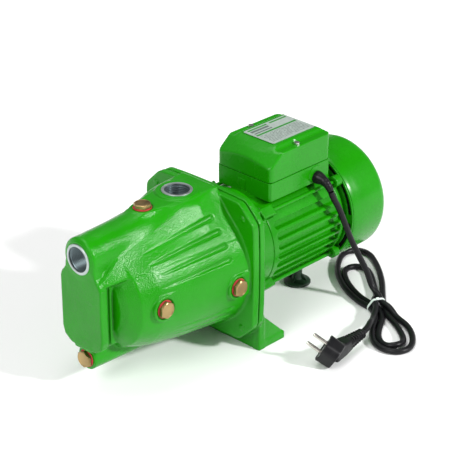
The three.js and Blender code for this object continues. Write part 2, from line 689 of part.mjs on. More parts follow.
function addTerminalBox() {
  const corner = 5;
  const outline = cutCornerRectangle(BOX_X0, BOX_X1, -BOX_HALF_Y, BOX_HALF_Y, corner);
  const shellOutside = prismZ(outline, BOX_BOTTOM_Z, BOX_SEAM_Z);
  const frontTab = block(BOX_X0 - 1, BOX_X0 + 2, -4, 8, BOX_BOTTOM_Z + 1, BOX_SEAM_Z - 6);
  const glandPad = rodY(11, GLAND_X, -BOX_HALF_Y - 0.8, -40, GLAND_Z + 4, 24);
  const screwSides = [-BOX_SCREW_Y, BOX_SCREW_Y];
  const cavity = cutCornerRectangle(BOX_X0 + 3, BOX_X1 - 3, -BOX_HALF_Y + 3, BOX_HALF_Y - 3, 3);
  const posts = screwSides.map((y) => rodZ(4.2, BOX_SCREW_X, y, 176, BOX_SEAM_Z, 12));
  const hollow = cut(prismZ(cavity, 176.5, BOX_SEAM_Z + 1), ...posts);
  const saddleRoom = [
    rodX(HOUSING_R + GAP, 20, 160, 0, AXIS_Z, 32),
    block(59, 131, -30.5, 30.5, 150, BOX_BOTTOM_Z + 1.9),
  ];
  const base = cut(join(shellOutside, frontTab, glandPad), hollow, ...saddleRoom,
    rodY(4.4, GLAND_X, -50, -36, GLAND_Z + 4.5, 16),
    ...screwSides.map((y) => rodZ(2.1, BOX_SCREW_X, y, 182, 200, 8)));
  addPart("terminal_box_base", "green_paint", base);

  const gasketOuter = cutCornerRectangle(BOX_X0 + 1, BOX_X1 - 1, -BOX_HALF_Y + 1, BOX_HALF_Y - 1, corner);
  const gasketInner = cutCornerRectangle(BOX_X0 + 2.8, BOX_X1 - 2.8, -BOX_HALF_Y + 2.8, BOX_HALF_Y - 2.8, 3);
  addPart("terminal_box_gasket", "grey_gasket", cut(
    prismZ(gasketOuter, BOX_SEAM_Z + GAP, BOX_SEAM_Z + 0.9),
    prismZ(gasketInner, BOX_SEAM_Z - 1, BOX_SEAM_Z + 2)));

  const coverBottom = BOX_SEAM_Z + 1.2;
  const sideView = prismY([
    [BOX_X0, coverBottom], [BOX_X1, coverBottom], [BOX_X1, BOX_TOP_Z - 3], [BOX_X1 - 4, BOX_TOP_Z],
    [BOX_X0 + 25, BOX_TOP_Z], [BOX_X0 + 20, BOX_TOP_Z - 2.5], [BOX_X0, 214.5],
  ], -BOX_HALF_Y, BOX_HALF_Y);
  const frontView = prismX([
    [-BOX_HALF_Y, coverBottom], [BOX_HALF_Y, coverBottom], [BOX_HALF_Y, BOX_LEDGE_Z - 2],
    [BOX_HALF_Y - 2, BOX_LEDGE_Z], [35, BOX_LEDGE_Z], [31, BOX_TOP_Z], [-31, BOX_TOP_Z],
    [-35, BOX_LEDGE_Z], [-BOX_HALF_Y + 2, BOX_LEDGE_Z], [-BOX_HALF_Y, BOX_LEDGE_Z - 2],
  ], BOX_X0 - 1, BOX_X1 + 1);
  const planView = prismZ(outline, coverBottom - 1, BOX_TOP_Z + 1);
  const columns = screwSides.map((y) => rodZ(4.4, BOX_SCREW_X, y, coverBottom, BOX_LEDGE_Z - 2, 12));
  const room = cut(prismY([
    [BOX_X0 + 3, coverBottom - 1], [BOX_X1 - 3, coverBottom - 1], [BOX_X1 - 3, 225],
    [BOX_X0 + 18, 225], [BOX_X0 + 3, 213],
  ], -BOX_HALF_Y + 3, BOX_HALF_Y - 3), ...columns);
  const screwHoles = screwSides.map((y) => rodZ(2.2, BOX_SCREW_X, y, 190, 240, 8));
  const cover = cut(sideView.intersect(frontView).intersect(planView), room, ...screwHoles);
  addPart("terminal_box_cover", "green_paint", cover);

  screwSides.forEach((y, number) => {
    const shank = rodZ(1.7, BOX_SCREW_X, y, 184, BOX_LEDGE_Z + 1, 8);
    const head = rodZ(3.6, BOX_SCREW_X, y, BOX_LEDGE_Z + GAP, BOX_LEDGE_Z + 2.4, 12);
    addPart(`terminal_box_screw_${number + 1}`, "zinc_steel", join(shank, head));
  });
  addPart("rating_plate", "plate", prismZ(cutCornerRectangle(64.5, 141.5, -26, 26, 1.5),
    BOX_TOP_Z + GAP, BOX_TOP_Z + 0.8));

  addPart("run_capacitor", "capacitor_can", rodX(15, 50, 112, 15, 193.5, 24));
  const blockBody = block(56, 104, -33, -15, 177, 190);
  const wells = [62, 74, 86, 98].map((x) => rodZ(3, x, -24, 184, 192, 8));
  addPart("terminal_block", "terminal_plastic", cut(blockBody, ...wells));
}

// ---------------------------------------------------------------- mains cord

// Stretch from the gland down to the tied hank, beside the motor.
const LEAD_ROUTE = [
  [124.8, -69.5, 162], [126.6, -71, 155.5], [130, -72.6, 148], [134.5, -74, 140],
  [140.5, -76, 125], [147, -78, 108],
  [152.5, -80.8, 92], [157.5, -85, 77], [162.5, -90, 62], [166.8, -95, 49], [169.8, -100, 36],
  [170.8, -105, 25], [170.2, -108.5, 19.8],
];
// Stretch from the hank to the plug.
const TAIL_ROUTE = [
  [149, -129.5, 18.5], [140, -136.5, 18.6], [128, -146, 18.8], [114, -155, 19], [99, -162, 18.9],
  [88, -165.8, 18.8], [78.6, -168.3, 18.5],
];

function cordTube(route, steps) {
  const points = route.map((p) => new THREE.Vector3(...p));
  const section = new THREE.Shape();
  section.absarc(0, 0, CORD_D / 2, 0, 2 * Math.PI);
  return new THREE.ExtrudeGeometry(section, {
    steps, curveSegments: 8, extrudePath: new THREE.CatmullRomCurve3(points),
  });
}

// Outline of the tied hank lying on the floor: long loop, waist under the tie, short loop.
const HANK_OUTLINE = [
  [170.2, -127.4], [184, -117], [209, -96], [235, -71], [254, -49], [266, -26], [269, -8], [260, 4],
  [240, 6], [210, -8], [188, -24], [168, -44], [154, -66], [148.6, -92], [151.8, -114.6],
  [141, -132], [116, -146], [96, -158], [80, -176], [76, -198], [86, -215], [108, -221],
  [132, -209], [152, -185], [160, -160], [163, -144],
];
const HANK_TOP = 14.5;
const TIE_CENTRE = [161, -121];
const TIE_ANGLE = 0.97;

function addCord() {
  addPart("cable_gland", "dark_rubber", taperedSweep([
    [GLAND_X, -47, GLAND_Z], [GLAND_X, -51, GLAND_Z], [GLAND_X + 0.3, -58, GLAND_Z - 1.5],
    [GLAND_X + 1, -65, GLAND_Z - 6], [GLAND_X + 1.6, -69, GLAND_Z - 12.5],
  ], [8.6, 8.2, 7.2, 6.2, 5.4, 4.6], 14));
  addPart("cord_lead", "cord_rubber", cordTube(LEAD_ROUTE, 13));
  addPart("cord_tail", "cord_rubber", cordTube(TAIL_ROUTE, 8));

  const outline = new THREE.CatmullRomCurve3(
    HANK_OUTLINE.map(([x, y]) => new THREE.Vector3(x, y, 0)), true).getSpacedPoints(40);
  const flat = outline.slice(0, -1).map((p) => [p.x, p.y]);
  addPart("cord_hank", "cord_rubber", prismZ(flat, 0, HANK_TOP));

  const [cx, cy] = TIE_CENTRE;
  const band = (halfWidth, z0, z1, halfLength) => {
    const geometry = new THREE.BoxGeometry(halfLength * 2, halfWidth * 2, z1 - z0);
    geometry.translate(0, 0, (z0 + z1) / 2);
    geometry.rotateZ(TIE_ANGLE);
    geometry.translate(cx, cy, 0);
    return solid(geometry);
  };
  const outside = band(15, 0, HANK_TOP + 1.5, 1.8);
  const inside = band(13.8, -1, HANK_TOP + GAP, 3);
  addPart("cable_tie", "tie_plastic", cut(outside, inside));
}

// Right-angle two-pin plug lying on its side, pins pointing past the pump.
const PLUG_FACE = new THREE.Vector3(9.5, -163.1, 24);
const PIN_AIM = new THREE.Vector3(-0.387, 0.765, 0.516).normalize();
const PIN_SPACING = 19;
const PIN_R = 2.4;
const PIN_L = 19;

function addMainsPlug() {
  const neckAim = new THREE.Vector3(1, 0, 0);
  const across = new THREE.Vector3().crossVectors(PIN_AIM, neckAim).normalize();
  const aimAlong = (geometry, centre) => {
    const turn = new THREE.Quaternion().setFromUnitVectors(new THREE.Vector3(0, 1, 0), PIN_AIM);
    geometry.applyQuaternion(turn);
    geometry.translate(centre.x, centre.y, centre.z);
    return solid(geometry);
  };
  const headDepth = 20;
  const headCentre = PLUG_FACE.clone().addScaledVector(PIN_AIM, -headDepth / 2);
  const head = aimAlong(new THREE.CylinderGeometry(18.5, 15.8, headDepth, 20), headCentre);
  const neck = taperedSweep([
    [20, -178.6, 14.2], [40, -176.4, 14.6], [60, -172.8, 16.2], [78, -168.6, 18.4],
  ], [12, 11.5, 10, 7.8, 6.2, 5.2], 12);
  addPart("mains_plug_body", "cord_rubber", join(head, neck));
  [-0.5, 0.5].forEach((side, number) => {
    const base = PLUG_FACE.clone().addScaledVector(across, side * PIN_SPACING);
    const centre = base.clone().addScaledVector(PIN_AIM, GAP + PIN_L / 2);
    addPart(`mains_plug_pin_${number + 1}`, "nickel",
      aimAlong(new THREE.CylinderGeometry(PIN_R, PIN_R, PIN_L, 12), centre));
  });
}

addCasing();
addHydraulics();
addBracket();
addShaftLine();
addMotor();
addRearEnd();
addTerminalBox();
addCord();
addMainsPlug();

export default model;
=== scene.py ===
"""Looks of a self-priming jet pump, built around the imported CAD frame.

Shapes are worked out in millimetres in the frame's own axes and turned to metres when a mesh is made.
"""

import math

import bmesh
import bpy
import numpy as np
from mathutils import Matrix, Vector


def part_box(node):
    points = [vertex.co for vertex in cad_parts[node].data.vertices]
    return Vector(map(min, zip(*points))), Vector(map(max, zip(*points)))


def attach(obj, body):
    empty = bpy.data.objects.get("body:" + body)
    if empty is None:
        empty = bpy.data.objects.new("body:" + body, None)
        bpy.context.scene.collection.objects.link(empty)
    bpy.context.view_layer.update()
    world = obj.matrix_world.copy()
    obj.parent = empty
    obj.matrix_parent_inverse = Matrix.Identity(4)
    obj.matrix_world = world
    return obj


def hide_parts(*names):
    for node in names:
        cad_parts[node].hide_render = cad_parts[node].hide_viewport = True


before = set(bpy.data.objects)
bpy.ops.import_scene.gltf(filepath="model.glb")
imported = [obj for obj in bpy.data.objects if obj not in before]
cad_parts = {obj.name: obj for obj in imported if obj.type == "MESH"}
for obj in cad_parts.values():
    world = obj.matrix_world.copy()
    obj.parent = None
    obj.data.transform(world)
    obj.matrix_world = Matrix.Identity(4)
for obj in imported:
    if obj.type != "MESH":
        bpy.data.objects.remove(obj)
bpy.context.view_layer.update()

MM = 0.001


def in_scene(obj):
    bpy.context.scene.collection.objects.link(obj)
    return obj


# ---- driving sizes, in millimetres


def span(node):
    """Lowest and highest corner of a CAD node, in millimetres."""
    low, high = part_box(node)
    return np.array(low) / MM, np.array(high) / MM


AXIS_Z = 110.0
CASING_LOW, CASING_HIGH = span("pump_casing")
SUCTION_Z = 175.5
DISCHARGE_X = -76.0
SLAB_X = -232.5
FLANGE_X = (-40.3, -30.8)
PORT_RING_R = 19.1
PORT_BORE_R = 15.15
BRACKET_X = (-28.3, -20.3)
BELL_REAR_X = 24.0
HOUSING_X = (24.4, 150.0)
HOUSING_R = 62.0
FIN_R = 67.5
ROD_Y = 50.0
ROD_Z = 50.5
ROD_R = 2.4
ROD_HOLE_R = 2.7
COVER_LOW, COVER_HIGH = span("fan_cover")
COVER_R = 77.0
BOX_LOW, BOX_HIGH = span("terminal_box_cover")
BOX_SEAM_Z = 193.0
BOX_BOTTOM_Z = 168.5
GLAND = np.array([123.0, -46.0, 176.0])
PLUG_FACE = np.array([9.5, -163.1, 24.0])
PIN_AIM = np.array([-0.387, 0.765, 0.516])
CORD_D = 8.0

# seat centre and outward direction of the four service plugs
FILL_X, DRAIN_Z = -132.5, 42.0
SERVICE_PLUGS = {
    "fill_plug": ((FILL_X, 0.0, 206.0), (0, 0, 1), "fill_plug_washer"),
    "drain_plug": ((-226.5, 0.0, DRAIN_Z), (-1, 0, 0), "drain_plug_washer"),
    "gauge_plug_front": ((-166.0, -70.5, 111.5), (0, -1, 0), "gauge_washer_front"),
    "gauge_plug_rear": ((-59.5, -86.0, 104.5), (0, -1, 0), "gauge_washer_rear"),
}
PLUG_BODY = {
    "fill_plug": ("fill_screw", "fill_washer"),
    "drain_plug": ("drain_screw", "drain_washer"),
    "gauge_plug_front": ("pump", "pump"),
    "gauge_plug_rear": ("pump", "pump"),
}

# ---- camera

CAMERA_AT = Vector((-1.3357, -1.3139, 1.0742))
CAMERA_TARGET = Vector((0.0059, 0.0, 0.1339))


def make_camera():
    data = bpy.data.cameras.new("camera")
    data.lens = 135.18
    data.sensor_width = 36.0
    data.clip_end = 20
    camera = in_scene(bpy.data.objects.new("camera", data))
    camera.location = CAMERA_AT
    camera.rotation_euler = (CAMERA_TARGET - CAMERA_AT).to_track_quat("-Z", "Y").to_euler()
    bpy.context.scene.camera = camera


make_camera()

# ---- materials


def new_node(tree, kind, **inputs):
    """A node whose inputs are given as values or as other nodes' outputs."""
    node = tree.nodes.new("ShaderNode" + kind)
    for key, value in inputs.items():
        socket = node.inputs[key.replace("_", " ")]
        if isinstance(value, bpy.types.NodeSocket):
            tree.links.new(value, socket)
        else:
            socket.default_value = value
    return node


class Nodes:
    """A material's node tree, with short ways to add what the looks below need."""

    def __init__(self, name):
        self.material = bpy.data.materials.new(name)
        self.material.use_nodes = True
        self.tree = self.material.node_tree
        self.shader = self.tree.nodes["Principled BSDF"]
        self.coords = new_node(self.tree, "TexCoord").outputs["Object"]

    def link(self, a, b):
        self.tree.links.new(a, b)

    def set(self, **values):
        for key, value in values.items():
            self.shader.inputs[key.replace("_", " ")].default_value = value

    def stretched(self, scale):
        return new_node(self.tree, "Mapping", Vector=self.coords, Scale=scale).outputs["Vector"]

    def noise(self, scale, detail=3.0, rough=0.5, vector=None):
        source = vector or self.coords
        node = new_node(self.tree, "TexNoise", Scale=scale, Detail=detail, Roughness=rough, Vector=source)
        return node.outputs["Fac"]

    def ramp(self, value, stops):
        node = new_node(self.tree, "ValToRGB", Fac=value)
        for element, (at, colour) in zip(node.color_ramp.elements, stops):
            element.position = at
            element.color = (*colour, 1)
        return node.outputs["Color"]

    def colour(self, value, stops):
        self.link(self.ramp(value, stops), self.shader.inputs["Base Color"])

    def roughness(self, value, low, high):
        grey = self.ramp(value, [(0.3, (low,) * 3), (0.7, (high,) * 3)])
        self.link(grey, self.shader.inputs["Roughness"])

    def bump(self, height, strength, distance):
        node = new_node(self.tree, "Bump", Strength=strength, Distance=distance, Height=height)
        previous = self.shader.inputs["Normal"].links
        if previous:
            self.link(previous[0].from_socket, node.inputs["Normal"])
        self.link(node.outputs["Normal"], self.shader.inputs["Normal"])


def shade(rgb, factor):
    return tuple(min(1.0, c * factor) for c in rgb)


def green_paint(name, grain, rough):
    """Gloss enamel over a surface with the given grain."""
    n = Nodes(name)
    cloud = n.noise(14, 4)
    n.colour(cloud, [(0.3, shade(GREEN, 0.9)), (0.7, shade(GREEN, 1.08))])
    n.roughness(n.noise(60, 3), *rough)
    size, strength, height = grain
    n.bump(n.noise(size, 2.5, 0.55), strength, height)
    n.bump(n.noise(size * 0.12, 2), 0.35, height * 2.5)
    n.set(Specular_IOR_Level=0.26)
    return n.material


def plain(name, base, rough, metal=0.0, grain=(900, 0.12, 0.0001), spread=0.12, **more):
    """One colour with soft clouding, uneven gloss and a fine surface grain."""
    n = Nodes(name)
    n.colour(n.noise(35, 4), [(0.3, shade(base, 1 - spread)), (0.7, shade(base, 1 + spread))])
    n.roughness(n.noise(140, 3), rough * 0.85, min(1, rough * 1.2))
    n.bump(n.noise(grain[0], 3), grain[1], grain[2])
    n.set(Metallic=metal, **more)
    return n.material


def turned_metal(name, base, rough, axis):
    """Machined metal with fine tool lines across the given axis (0, 1 or 2)."""
    n = Nodes(name)
    scale = [40.0, 40.0, 40.0]
    scale[axis] = 4000.0
    lines = n.noise(1.0, 2, 0.6, n.stretched(scale))
    n.colour(n.noise(60, 4), [(0.3, shade(base, 0.85)), (0.7, shade(base, 1.1))])
    n.roughness(lines, rough * 0.8, rough * 1.3)
    n.bump(lines, 0.25, 0.00008)
    n.set(Metallic=1.0)
    return n.material


GREEN = (0.008, 0.238, 0.0)
BLACK = (0.006, 0.006, 0.007)
# size per metre, bump strength and bump height in metres of each surface under the paint
CASTING_GRAIN = (640, 0.75, 0.00055)
DIE_CAST_GRAIN = (700, 0.18, 0.0002)
MOULDED_GRAIN = (1100, 0.12, 0.0001)


def rating_plate_look():
    """Silver sheet with printed bars and rules, all plain blocks."""
    n = Nodes("rating_plate_print")
    split = new_node(n.tree, "SeparateXYZ", Vector=n.coords)

    def op(kind, *values):
        node = new_node(n.tree, "Math")
        node.operation = kind
        for socket, value in zip(node.inputs, values):
            if isinstance(value, (int, float)):
                socket.default_value = value
            else:
                n.link(value, socket)
        return node.outputs[0]

    x = op("DIVIDE", split.outputs["X"], MM)
    y = op("DIVIDE", split.outputs["Y"], MM)

    def patch(x0, x1, y0, y1):
        inside_x = op("MULTIPLY", op("GREATER_THAN", x, x0), op("LESS_THAN", x, x1))
        inside_y = op("MULTIPLY", op("GREATER_THAN", y, y0), op("LESS_THAN", y, y1))
        return op("MULTIPLY", inside_x, inside_y)

    # the plate is read from the -Y side: columns run along X, lines run down towards -Y
    rules = op("GREATER_THAN", op("SINE", op("MULTIPLY", y, 2.05)), 0.35)
    breaks = op("GREATER_THAN", n.noise(1.0, 2, 0.6, n.stretched((260, 900, 1))), 0.44)
    body = op("MULTIPLY", op("MULTIPLY", rules, breaks), patch(69, 137, -23, 1))
    dark = op("MAXIMUM", body, patch(69, 101, 14.5, 18.5))
    dark = op("MAXIMUM", dark, patch(69, 101, 9, 11.5))
    green = op("MAXIMUM", patch(67, 139, 3, 6.5), patch(69, 103, 20.5, 23.5))
    green = op("MAXIMUM", green, patch(108, 139, 20.5, 23.5))
    silver = n.ramp(n.noise(300, 3), [(0.3, (0.42, 0.5, 0.45)), (0.7, (0.5, 0.58, 0.53))])

    def mix(fac, a, b):
        node = new_node(n.tree, "Mix")
        node.data_type = "RGBA"
        n.link(fac, node.inputs[0])
        n.link(a, node.inputs[6])
        node.inputs[7].default_value = (*b, 1)
        return node.outputs[2]

    inked = mix(op("MULTIPLY", dark, 0.75), silver, (0.03, 0.07, 0.05))
    n.link(mix(green, inked, (0.03, 0.3, 0.03)), n.shader.inputs["Base Color"])
    n.roughness(n.noise(200, 3), 0.28, 0.4)
    n.set(Metallic=0.35)
    return n.material


LOOKS = {
    "casting": green_paint("green_casting", CASTING_GRAIN, (0.17, 0.27)),
    "die_cast": green_paint("green_die_cast", DIE_CAST_GRAIN, (0.22, 0.32)),
    "moulded": green_paint("green_moulded", MOULDED_GRAIN, (0.22, 0.3)),
    "port_ring": turned_metal("port_ring_metal", (0.46, 0.52, 0.51), 0.42, 0),
    "port_ring_top": turned_metal("port_ring_top_metal", (0.5, 0.56, 0.55), 0.42, 2),
    "port_thread": plain("port_thread_metal", (0.13, 0.17, 0.18), 0.34, 0.9),
    "brass": plain("dull_brass", (0.36, 0.25, 0.11), 0.34, 1.0, (420, 0.5, 0.0004), 0.35),
    "red_fibre": plain("red_fibre", (0.42, 0.02, 0.03), 0.6),
    "zinc": plain("zinc_plate", (0.62, 0.62, 0.6), 0.3, 1.0),
    "steel": plain("ground_steel", (0.55, 0.56, 0.58), 0.28, 1.0),
    "rubber": plain("cord_rubber", BLACK, 0.38, 0, (500, 0.15, 0.0001), Specular_IOR_Level=0.22),
    "plug_black": plain("plug_moulding", BLACK, 0.36, 0, (1200, 0.1, 0.0001), Specular_IOR_Level=0.25),
    "foot": plain("foot_rubber", (0.008, 0.03, 0.012), 0.45, 0, (300, 0.2, 0.0002)),
    "gasket": plain("gasket_rubber", (0.008, 0.009, 0.008), 0.7),
    "tie": plain("tie_nylon", (0.72, 0.8, 0.76), 0.4),
    "nickel": plain("pin_nickel", (0.62, 0.59, 0.54), 0.24, 1.0),
    "resin": plain("moulded_resin", (0.68, 0.62, 0.46), 0.45),
    "carbon": plain("seal_carbon", (0.02, 0.02, 0.022), 0.4),
    "ceramic": plain("seal_ceramic_white", (0.8, 0.78, 0.74), 0.25),
    "lamination": plain("lamination_steel", (0.2, 0.21, 0.22), 0.5, 0.8, (2500, 0.4, 0.0001)),
    "copper": plain("winding_wire", (0.42, 0.13, 0.04), 0.35, 0.8, (1500, 0.5, 0.0003)),
    "fan": plain("fan_moulding", (0.02, 0.021, 0.022), 0.5),
    "white": plain("white_moulding", (0.75, 0.75, 0.7), 0.4),
    "plate": rating_plate_look(),
}

# ---- mesh helpers


def place(name, mesh, look, body="pump", replaces=(), smooth=35):
    """Finishes a mesh made in millimetres: none of it under the floor, then metres, look and body."""
    for vertex in mesh.vertices:
        vertex.co.z = max(vertex.co.z, 0.0)
    mesh.transform(Matrix.Scale(MM, 4))
    mesh.update()
    obj = in_scene(bpy.data.objects.new(name, mesh))
    mesh.materials.append(LOOKS[look])
    mesh.polygons.foreach_set("use_smooth", [True] * len(mesh.polygons))
    if smooth is not None:
        mesh.set_sharp_from_angle(angle=math.radians(smooth))
    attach(obj, body)
    if replaces:
        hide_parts(*replaces)
    return obj


def mesh_from(name, points, faces):
    mesh = bpy.data.meshes.new(name)
    mesh.from_pydata([tuple(map(float, p)) for p in points], [], [tuple(map(int, f)) for f in faces])
    mesh.validate()
    return mesh


def bmesh_to_mesh(name, bm):
    bmesh.ops.recalc_face_normals(bm, faces=bm.faces)
    mesh = bpy.data.meshes.new(name)
    bm.to_mesh(mesh)
    bm.free()
    return mesh


def frame_along(direction, hint=(0, 0, 1)):
    """Rows are side, other side and the direction itself, all at right angles."""
    along = np.array(direction, float)
    along /= np.linalg.norm(along)
    hint = np.array(hint, float)
    if abs(along @ hint) > 0.95:
        hint = np.array((1.0, 0, 0))
    side = np.cross(hint, along)
    side /= np.linalg.norm(side)
    return np.array([side, np.cross(along, side), along])


def add_ring(bm, centre, side, other, radius, sides):
    """A ring of points about centre, in the plane of side and other; radius may depend on the angle."""
    points = []
    for step in range(sides):
        angle = 2 * math.pi * step / sides
        r = radius(angle) if callable(radius) else radius
        points.append(bm.verts.new(centre + r * (side * math.cos(angle) + other * math.sin(angle))))
    return points


def bridge(bm, rings):
    """Bands of faces between rings that follow each other."""
    for a, b in zip(rings, rings[1:]):
        for i in range(len(a)):
            j = (i + 1) % len(a)
            bm.faces.new((a[i], a[j], b[j], b[i]))


def lathe(name, profile, origin, direction, sides=64):
    """A closed profile of (radius, height) turned about a line; it may start and end on the axis."""
    axes = frame_along(direction)
    bm = bmesh.new()
    rings = []
    for radius, height in profile:
        centre = np.array(origin, float) + axes[2] * height
        on_axis = radius < 1e-6
        rings.append([bm.verts.new(centre)] if on_axis else add_ring(bm, centre, *axes[:2], radius, sides))
    closes = profile[0][0] > 1e-6
    pairs = list(zip(rings, rings[1:])) + ([(rings[-1], rings[0])] if closes else [])
    for a, b in pairs:
        for step in range(sides):
            nxt = (step + 1) % sides
            corners = [a[step % len(a)], a[nxt % len(a)], b[nxt % len(b)], b[step % len(b)]]
            unique = list(dict.fromkeys(corners))
            if len(unique) > 2:
                bm.faces.new(unique)
    return bmesh_to_mesh(name, bm)


# ---- implicit solids
# A solid is a function of x, y, z arrays that is negative inside, close to a true distance.


def smin(a, b, k):
    h = np.clip(0.5 + 0.5 * (b - a) / k, 0, 1)
    return b * (1 - h) + a * h - k * h * (1 - h)


def smax(a, b, k):
    return -smin(-a, -b, k)


def join(k, *fields):
    whole = fields[0]
    for field in fields[1:]:
        whole = smin(whole, field, k)
    return whole


def keep(k, *fields):
    whole = fields[0]
    for field in fields[1:]:
        whole = smax(whole, field, k)
    return whole


def dot3(d, axis):
    """How far the offset d, given as three coordinates, reaches along an axis."""
    return d[0] * axis[0] + d[1] * axis[1] + d[2] * axis[2]


def box_field(x, y, z, low, high, rounding):
    """Box between two corners with rounded edges."""
    half = [(b - a) / 2 - rounding for a, b in zip(low, high)]
    mid = [(a + b) / 2 for a, b in zip(low, high)]
    q = [abs(p - m) - h for p, m, h in zip((x, y, z), mid, half)]
    outside = np.sqrt(sum(np.maximum(c, 0) ** 2 for c in q))
    inside = np.minimum(np.maximum(np.maximum(q[0], q[1]), q[2]), 0)
    return outside + inside - rounding


def rod_field(a, b, start, end, radius, along, low, high, k=1.0):
    """Round bar: a, b are the coordinates across it, start, end its centre; along is clipped to low..high."""
    side = np.sqrt((a - start) ** 2 + (b - end) ** 2) - radius
    return keep(k, side, low - along, along - high)


def capsule_field(x, y, z, p, q, radius_p, radius_q):
    """Tapered bar with round ends."""
    p, q = np.array(p, float), np.array(q, float)
    d = q - p
    t = np.clip(((x - p[0]) * d[0] + (y - p[1]) * d[1] + (z - p[2]) * d[2]) / (d @ d), 0, 1)
    away = np.sqrt((x - p[0] - d[0] * t) ** 2 + (y - p[1] - d[1] * t) ** 2 + (z - p[2] - d[2] * t) ** 2)
    return away - (radius_p + (radius_q - radius_p) * t)


def turned_field(x, y, z, stations, radii, softness=17):
    """Body of revolution about the shaft line, its radius a curve through the stations, softened at them."""
    fine = np.linspace(stations[0], stations[-1], 240)
    curve = np.interp(fine, stations, radii)
    kernel = np.hanning(softness + 2)[1:-1]
    padded = np.pad(curve, softness // 2, mode="edge")
    curve = np.convolve(padded, kernel / kernel.sum(), mode="valid")
    slope = np.gradient(curve, fine)
    radius = np.sqrt(y**2 + (z - AXIS_Z) ** 2)
    lean = 1 / np.sqrt(1 + np.interp(x, fine, slope) ** 2)
    return (radius - np.interp(x, fine, curve)) * lean


BOLT_OUT = 74.0


def from_bolts(y, v):
    """Distance from the centre of the nearest flange bolt."""
    return np.sqrt((abs(y) - BOLT_OUT) ** 2 + (abs(v) - BOLT_OUT) ** 2)


def octagon_field(y, z, inset=0.0, k=4.0):
    """Flange outline: four arched sides and four cut corners."""
    v = z - AXIS_Z
    arch = 2.0 / 69.0**2
    side_y = abs(y) - (94 - inset - arch * v**2)
    side_z = abs(v) - (94 - inset - arch * y**2)
    corner = (abs(y) + abs(v) - (161 - inset * 1.42)) / math.sqrt(2)
    return keep(k, side_y, side_z, corner)


EDGES = []
for axis_number in range(3):
    for late in (0, 1):
        for early in (0, 1):
            start, end = [early, late], [early, late]
            start.insert(axis_number, 0)
            end.insert(axis_number, 1)
            EDGES.append((tuple(start), tuple(end)))


def implicit_mesh(name, field, low, high, step):
    """Mesh of a field's zero surface: one point per grid cell it crosses, then moved onto the surface."""
    steps = step if isinstance(step, tuple) else (step,) * 3
    axes = [np.arange(a - 1.5 * s, b + 2.5 * s, s) for a, b, s in zip(low, high, steps)]
    grid = np.meshgrid(*axes, indexing="ij", sparse=True)
    values = np.broadcast_to(field(*grid), tuple(len(a) for a in axes)).astype(float)
    inside = values < 0
    count = np.zeros(tuple(n - 1 for n in values.shape), int)
    for i in (0, 1):
        for j in (0, 1):
            for k in (0, 1):
                count += inside[i : i + count.shape[0], j : j + count.shape[1], k : k + count.shape[2]]
    cells = np.argwhere((count > 0) & (count < 8))
    number = np.full(count.shape, -1)
    number[tuple(cells.T)] = np.arange(len(cells))
    total, hits = np.zeros((len(cells), 3)), np.zeros(len(cells))
    for a, b in EDGES:
        va, vb = values[tuple((cells + a).T)], values[tuple((cells + b).T)]
        crossed = (va < 0) != (vb < 0)
        t = np.where(crossed, va / np.where(crossed, va - vb, 1), 0)
        spot = cells + np.array(a) + t[:, None] * (np.array(b) - np.array(a))
        total += spot * crossed[:, None]
        hits += crossed
    points = total / hits[:, None] * np.array(steps) + np.array([a[0] for a in axes])
    size = max(steps)
    for _ in range(4):
        here = field(*points.T)
        h = 0.05
        slope = np.stack(
            [
                (field(*(points + h * e).T) - field(*(points - h * e).T)) / (2 * h)
                for e in np.eye(3)
            ],
            -1,
        )
        move = here[:, None] * slope / np.maximum((slope**2).sum(1), 0.2)[:, None]
        reach = np.linalg.norm(move, axis=1)
        move *= np.minimum(1, 0.4 * size / np.maximum(reach, 1e-9))[:, None]
        points = points - move
    faces = []
    around = {0: ((0, -1, -1), (0, 0, -1), (0, 0, 0), (0, -1, 0)),
              1: ((-1, 0, -1), (-1, 0, 0), (0, 0, 0), (0, 0, -1)),
              2: ((-1, -1, 0), (0, -1, 0), (0, 0, 0), (-1, 0, 0))}
    for axis in range(3):
        head = [slice(None)] * 3
        tail = [slice(None)] * 3
        head[axis], tail[axis] = slice(0, -1), slice(1, None)
        a, b = inside[tuple(head)], inside[tuple(tail)]
        spots = np.argwhere(a != b)
        keep_spot = np.all([(spots[:, d] > 0) & (spots[:, d] < count.shape[d]) for d in range(3)
                            if d != axis], axis=0) & (spots[:, axis] < count.shape[axis])
        spots = spots[keep_spot]
        quad = np.stack([number[tuple((spots + np.array(o)).T)] for o in around[axis]], -1)
        outward = a[tuple(spots.T)]
        quad[~outward] = quad[~outward][:, ::-1]
        faces.append(quad)
    faces = np.concatenate(faces)
    faces = faces[(faces >= 0).all(1)]
    return mesh_from(name, points, faces)


def carved(name, node, look, field, low, high, step):
    """A piece whose surface comes from a field; it stands for the node of the second name."""
    mesh = implicit_mesh(name, field, low, high, step)
    place(name, mesh, look, replaces=(node,), smooth=None)


# ---- cord

# The lead's points repeat the part's own route, from the gland down to the tied bundle.
LEAD_ROUTE = [
    (124.8, -69.5, 162), (126.6, -71, 155.5), (130, -72.6, 148), (134.5, -74, 140), (140.5, -76, 125),
    (147, -78, 108), (152.5, -80.8, 92), (157.5, -85, 77), (162.5, -90, 62), (166.8, -95, 49),
    (169.8, -100, 36), (170.8, -105, 25), (169, -111.5, 17), (166.5, -118, 13),
]
TIE_CENTRE = np.array([159.5, -125.0])
TIE_ALONG = np.array([0.565, 0.825])
TIE_ACROSS = np.array([-0.825, 0.565])
LOW_LAYER, HIGH_LAYER = 4.1, 11.2


def tie_slot(across, height, along=0.0):
    x, y = TIE_CENTRE + TIE_ACROSS * across + TIE_ALONG * along
    return (x, y, height)


def on_floor(*points):
    """Points given as (x, y) lie on the floor; (x, y, z) are kept."""
    return [(*p, LOW_LAYER)[:3] if len(p) == 2 else p for p in points]


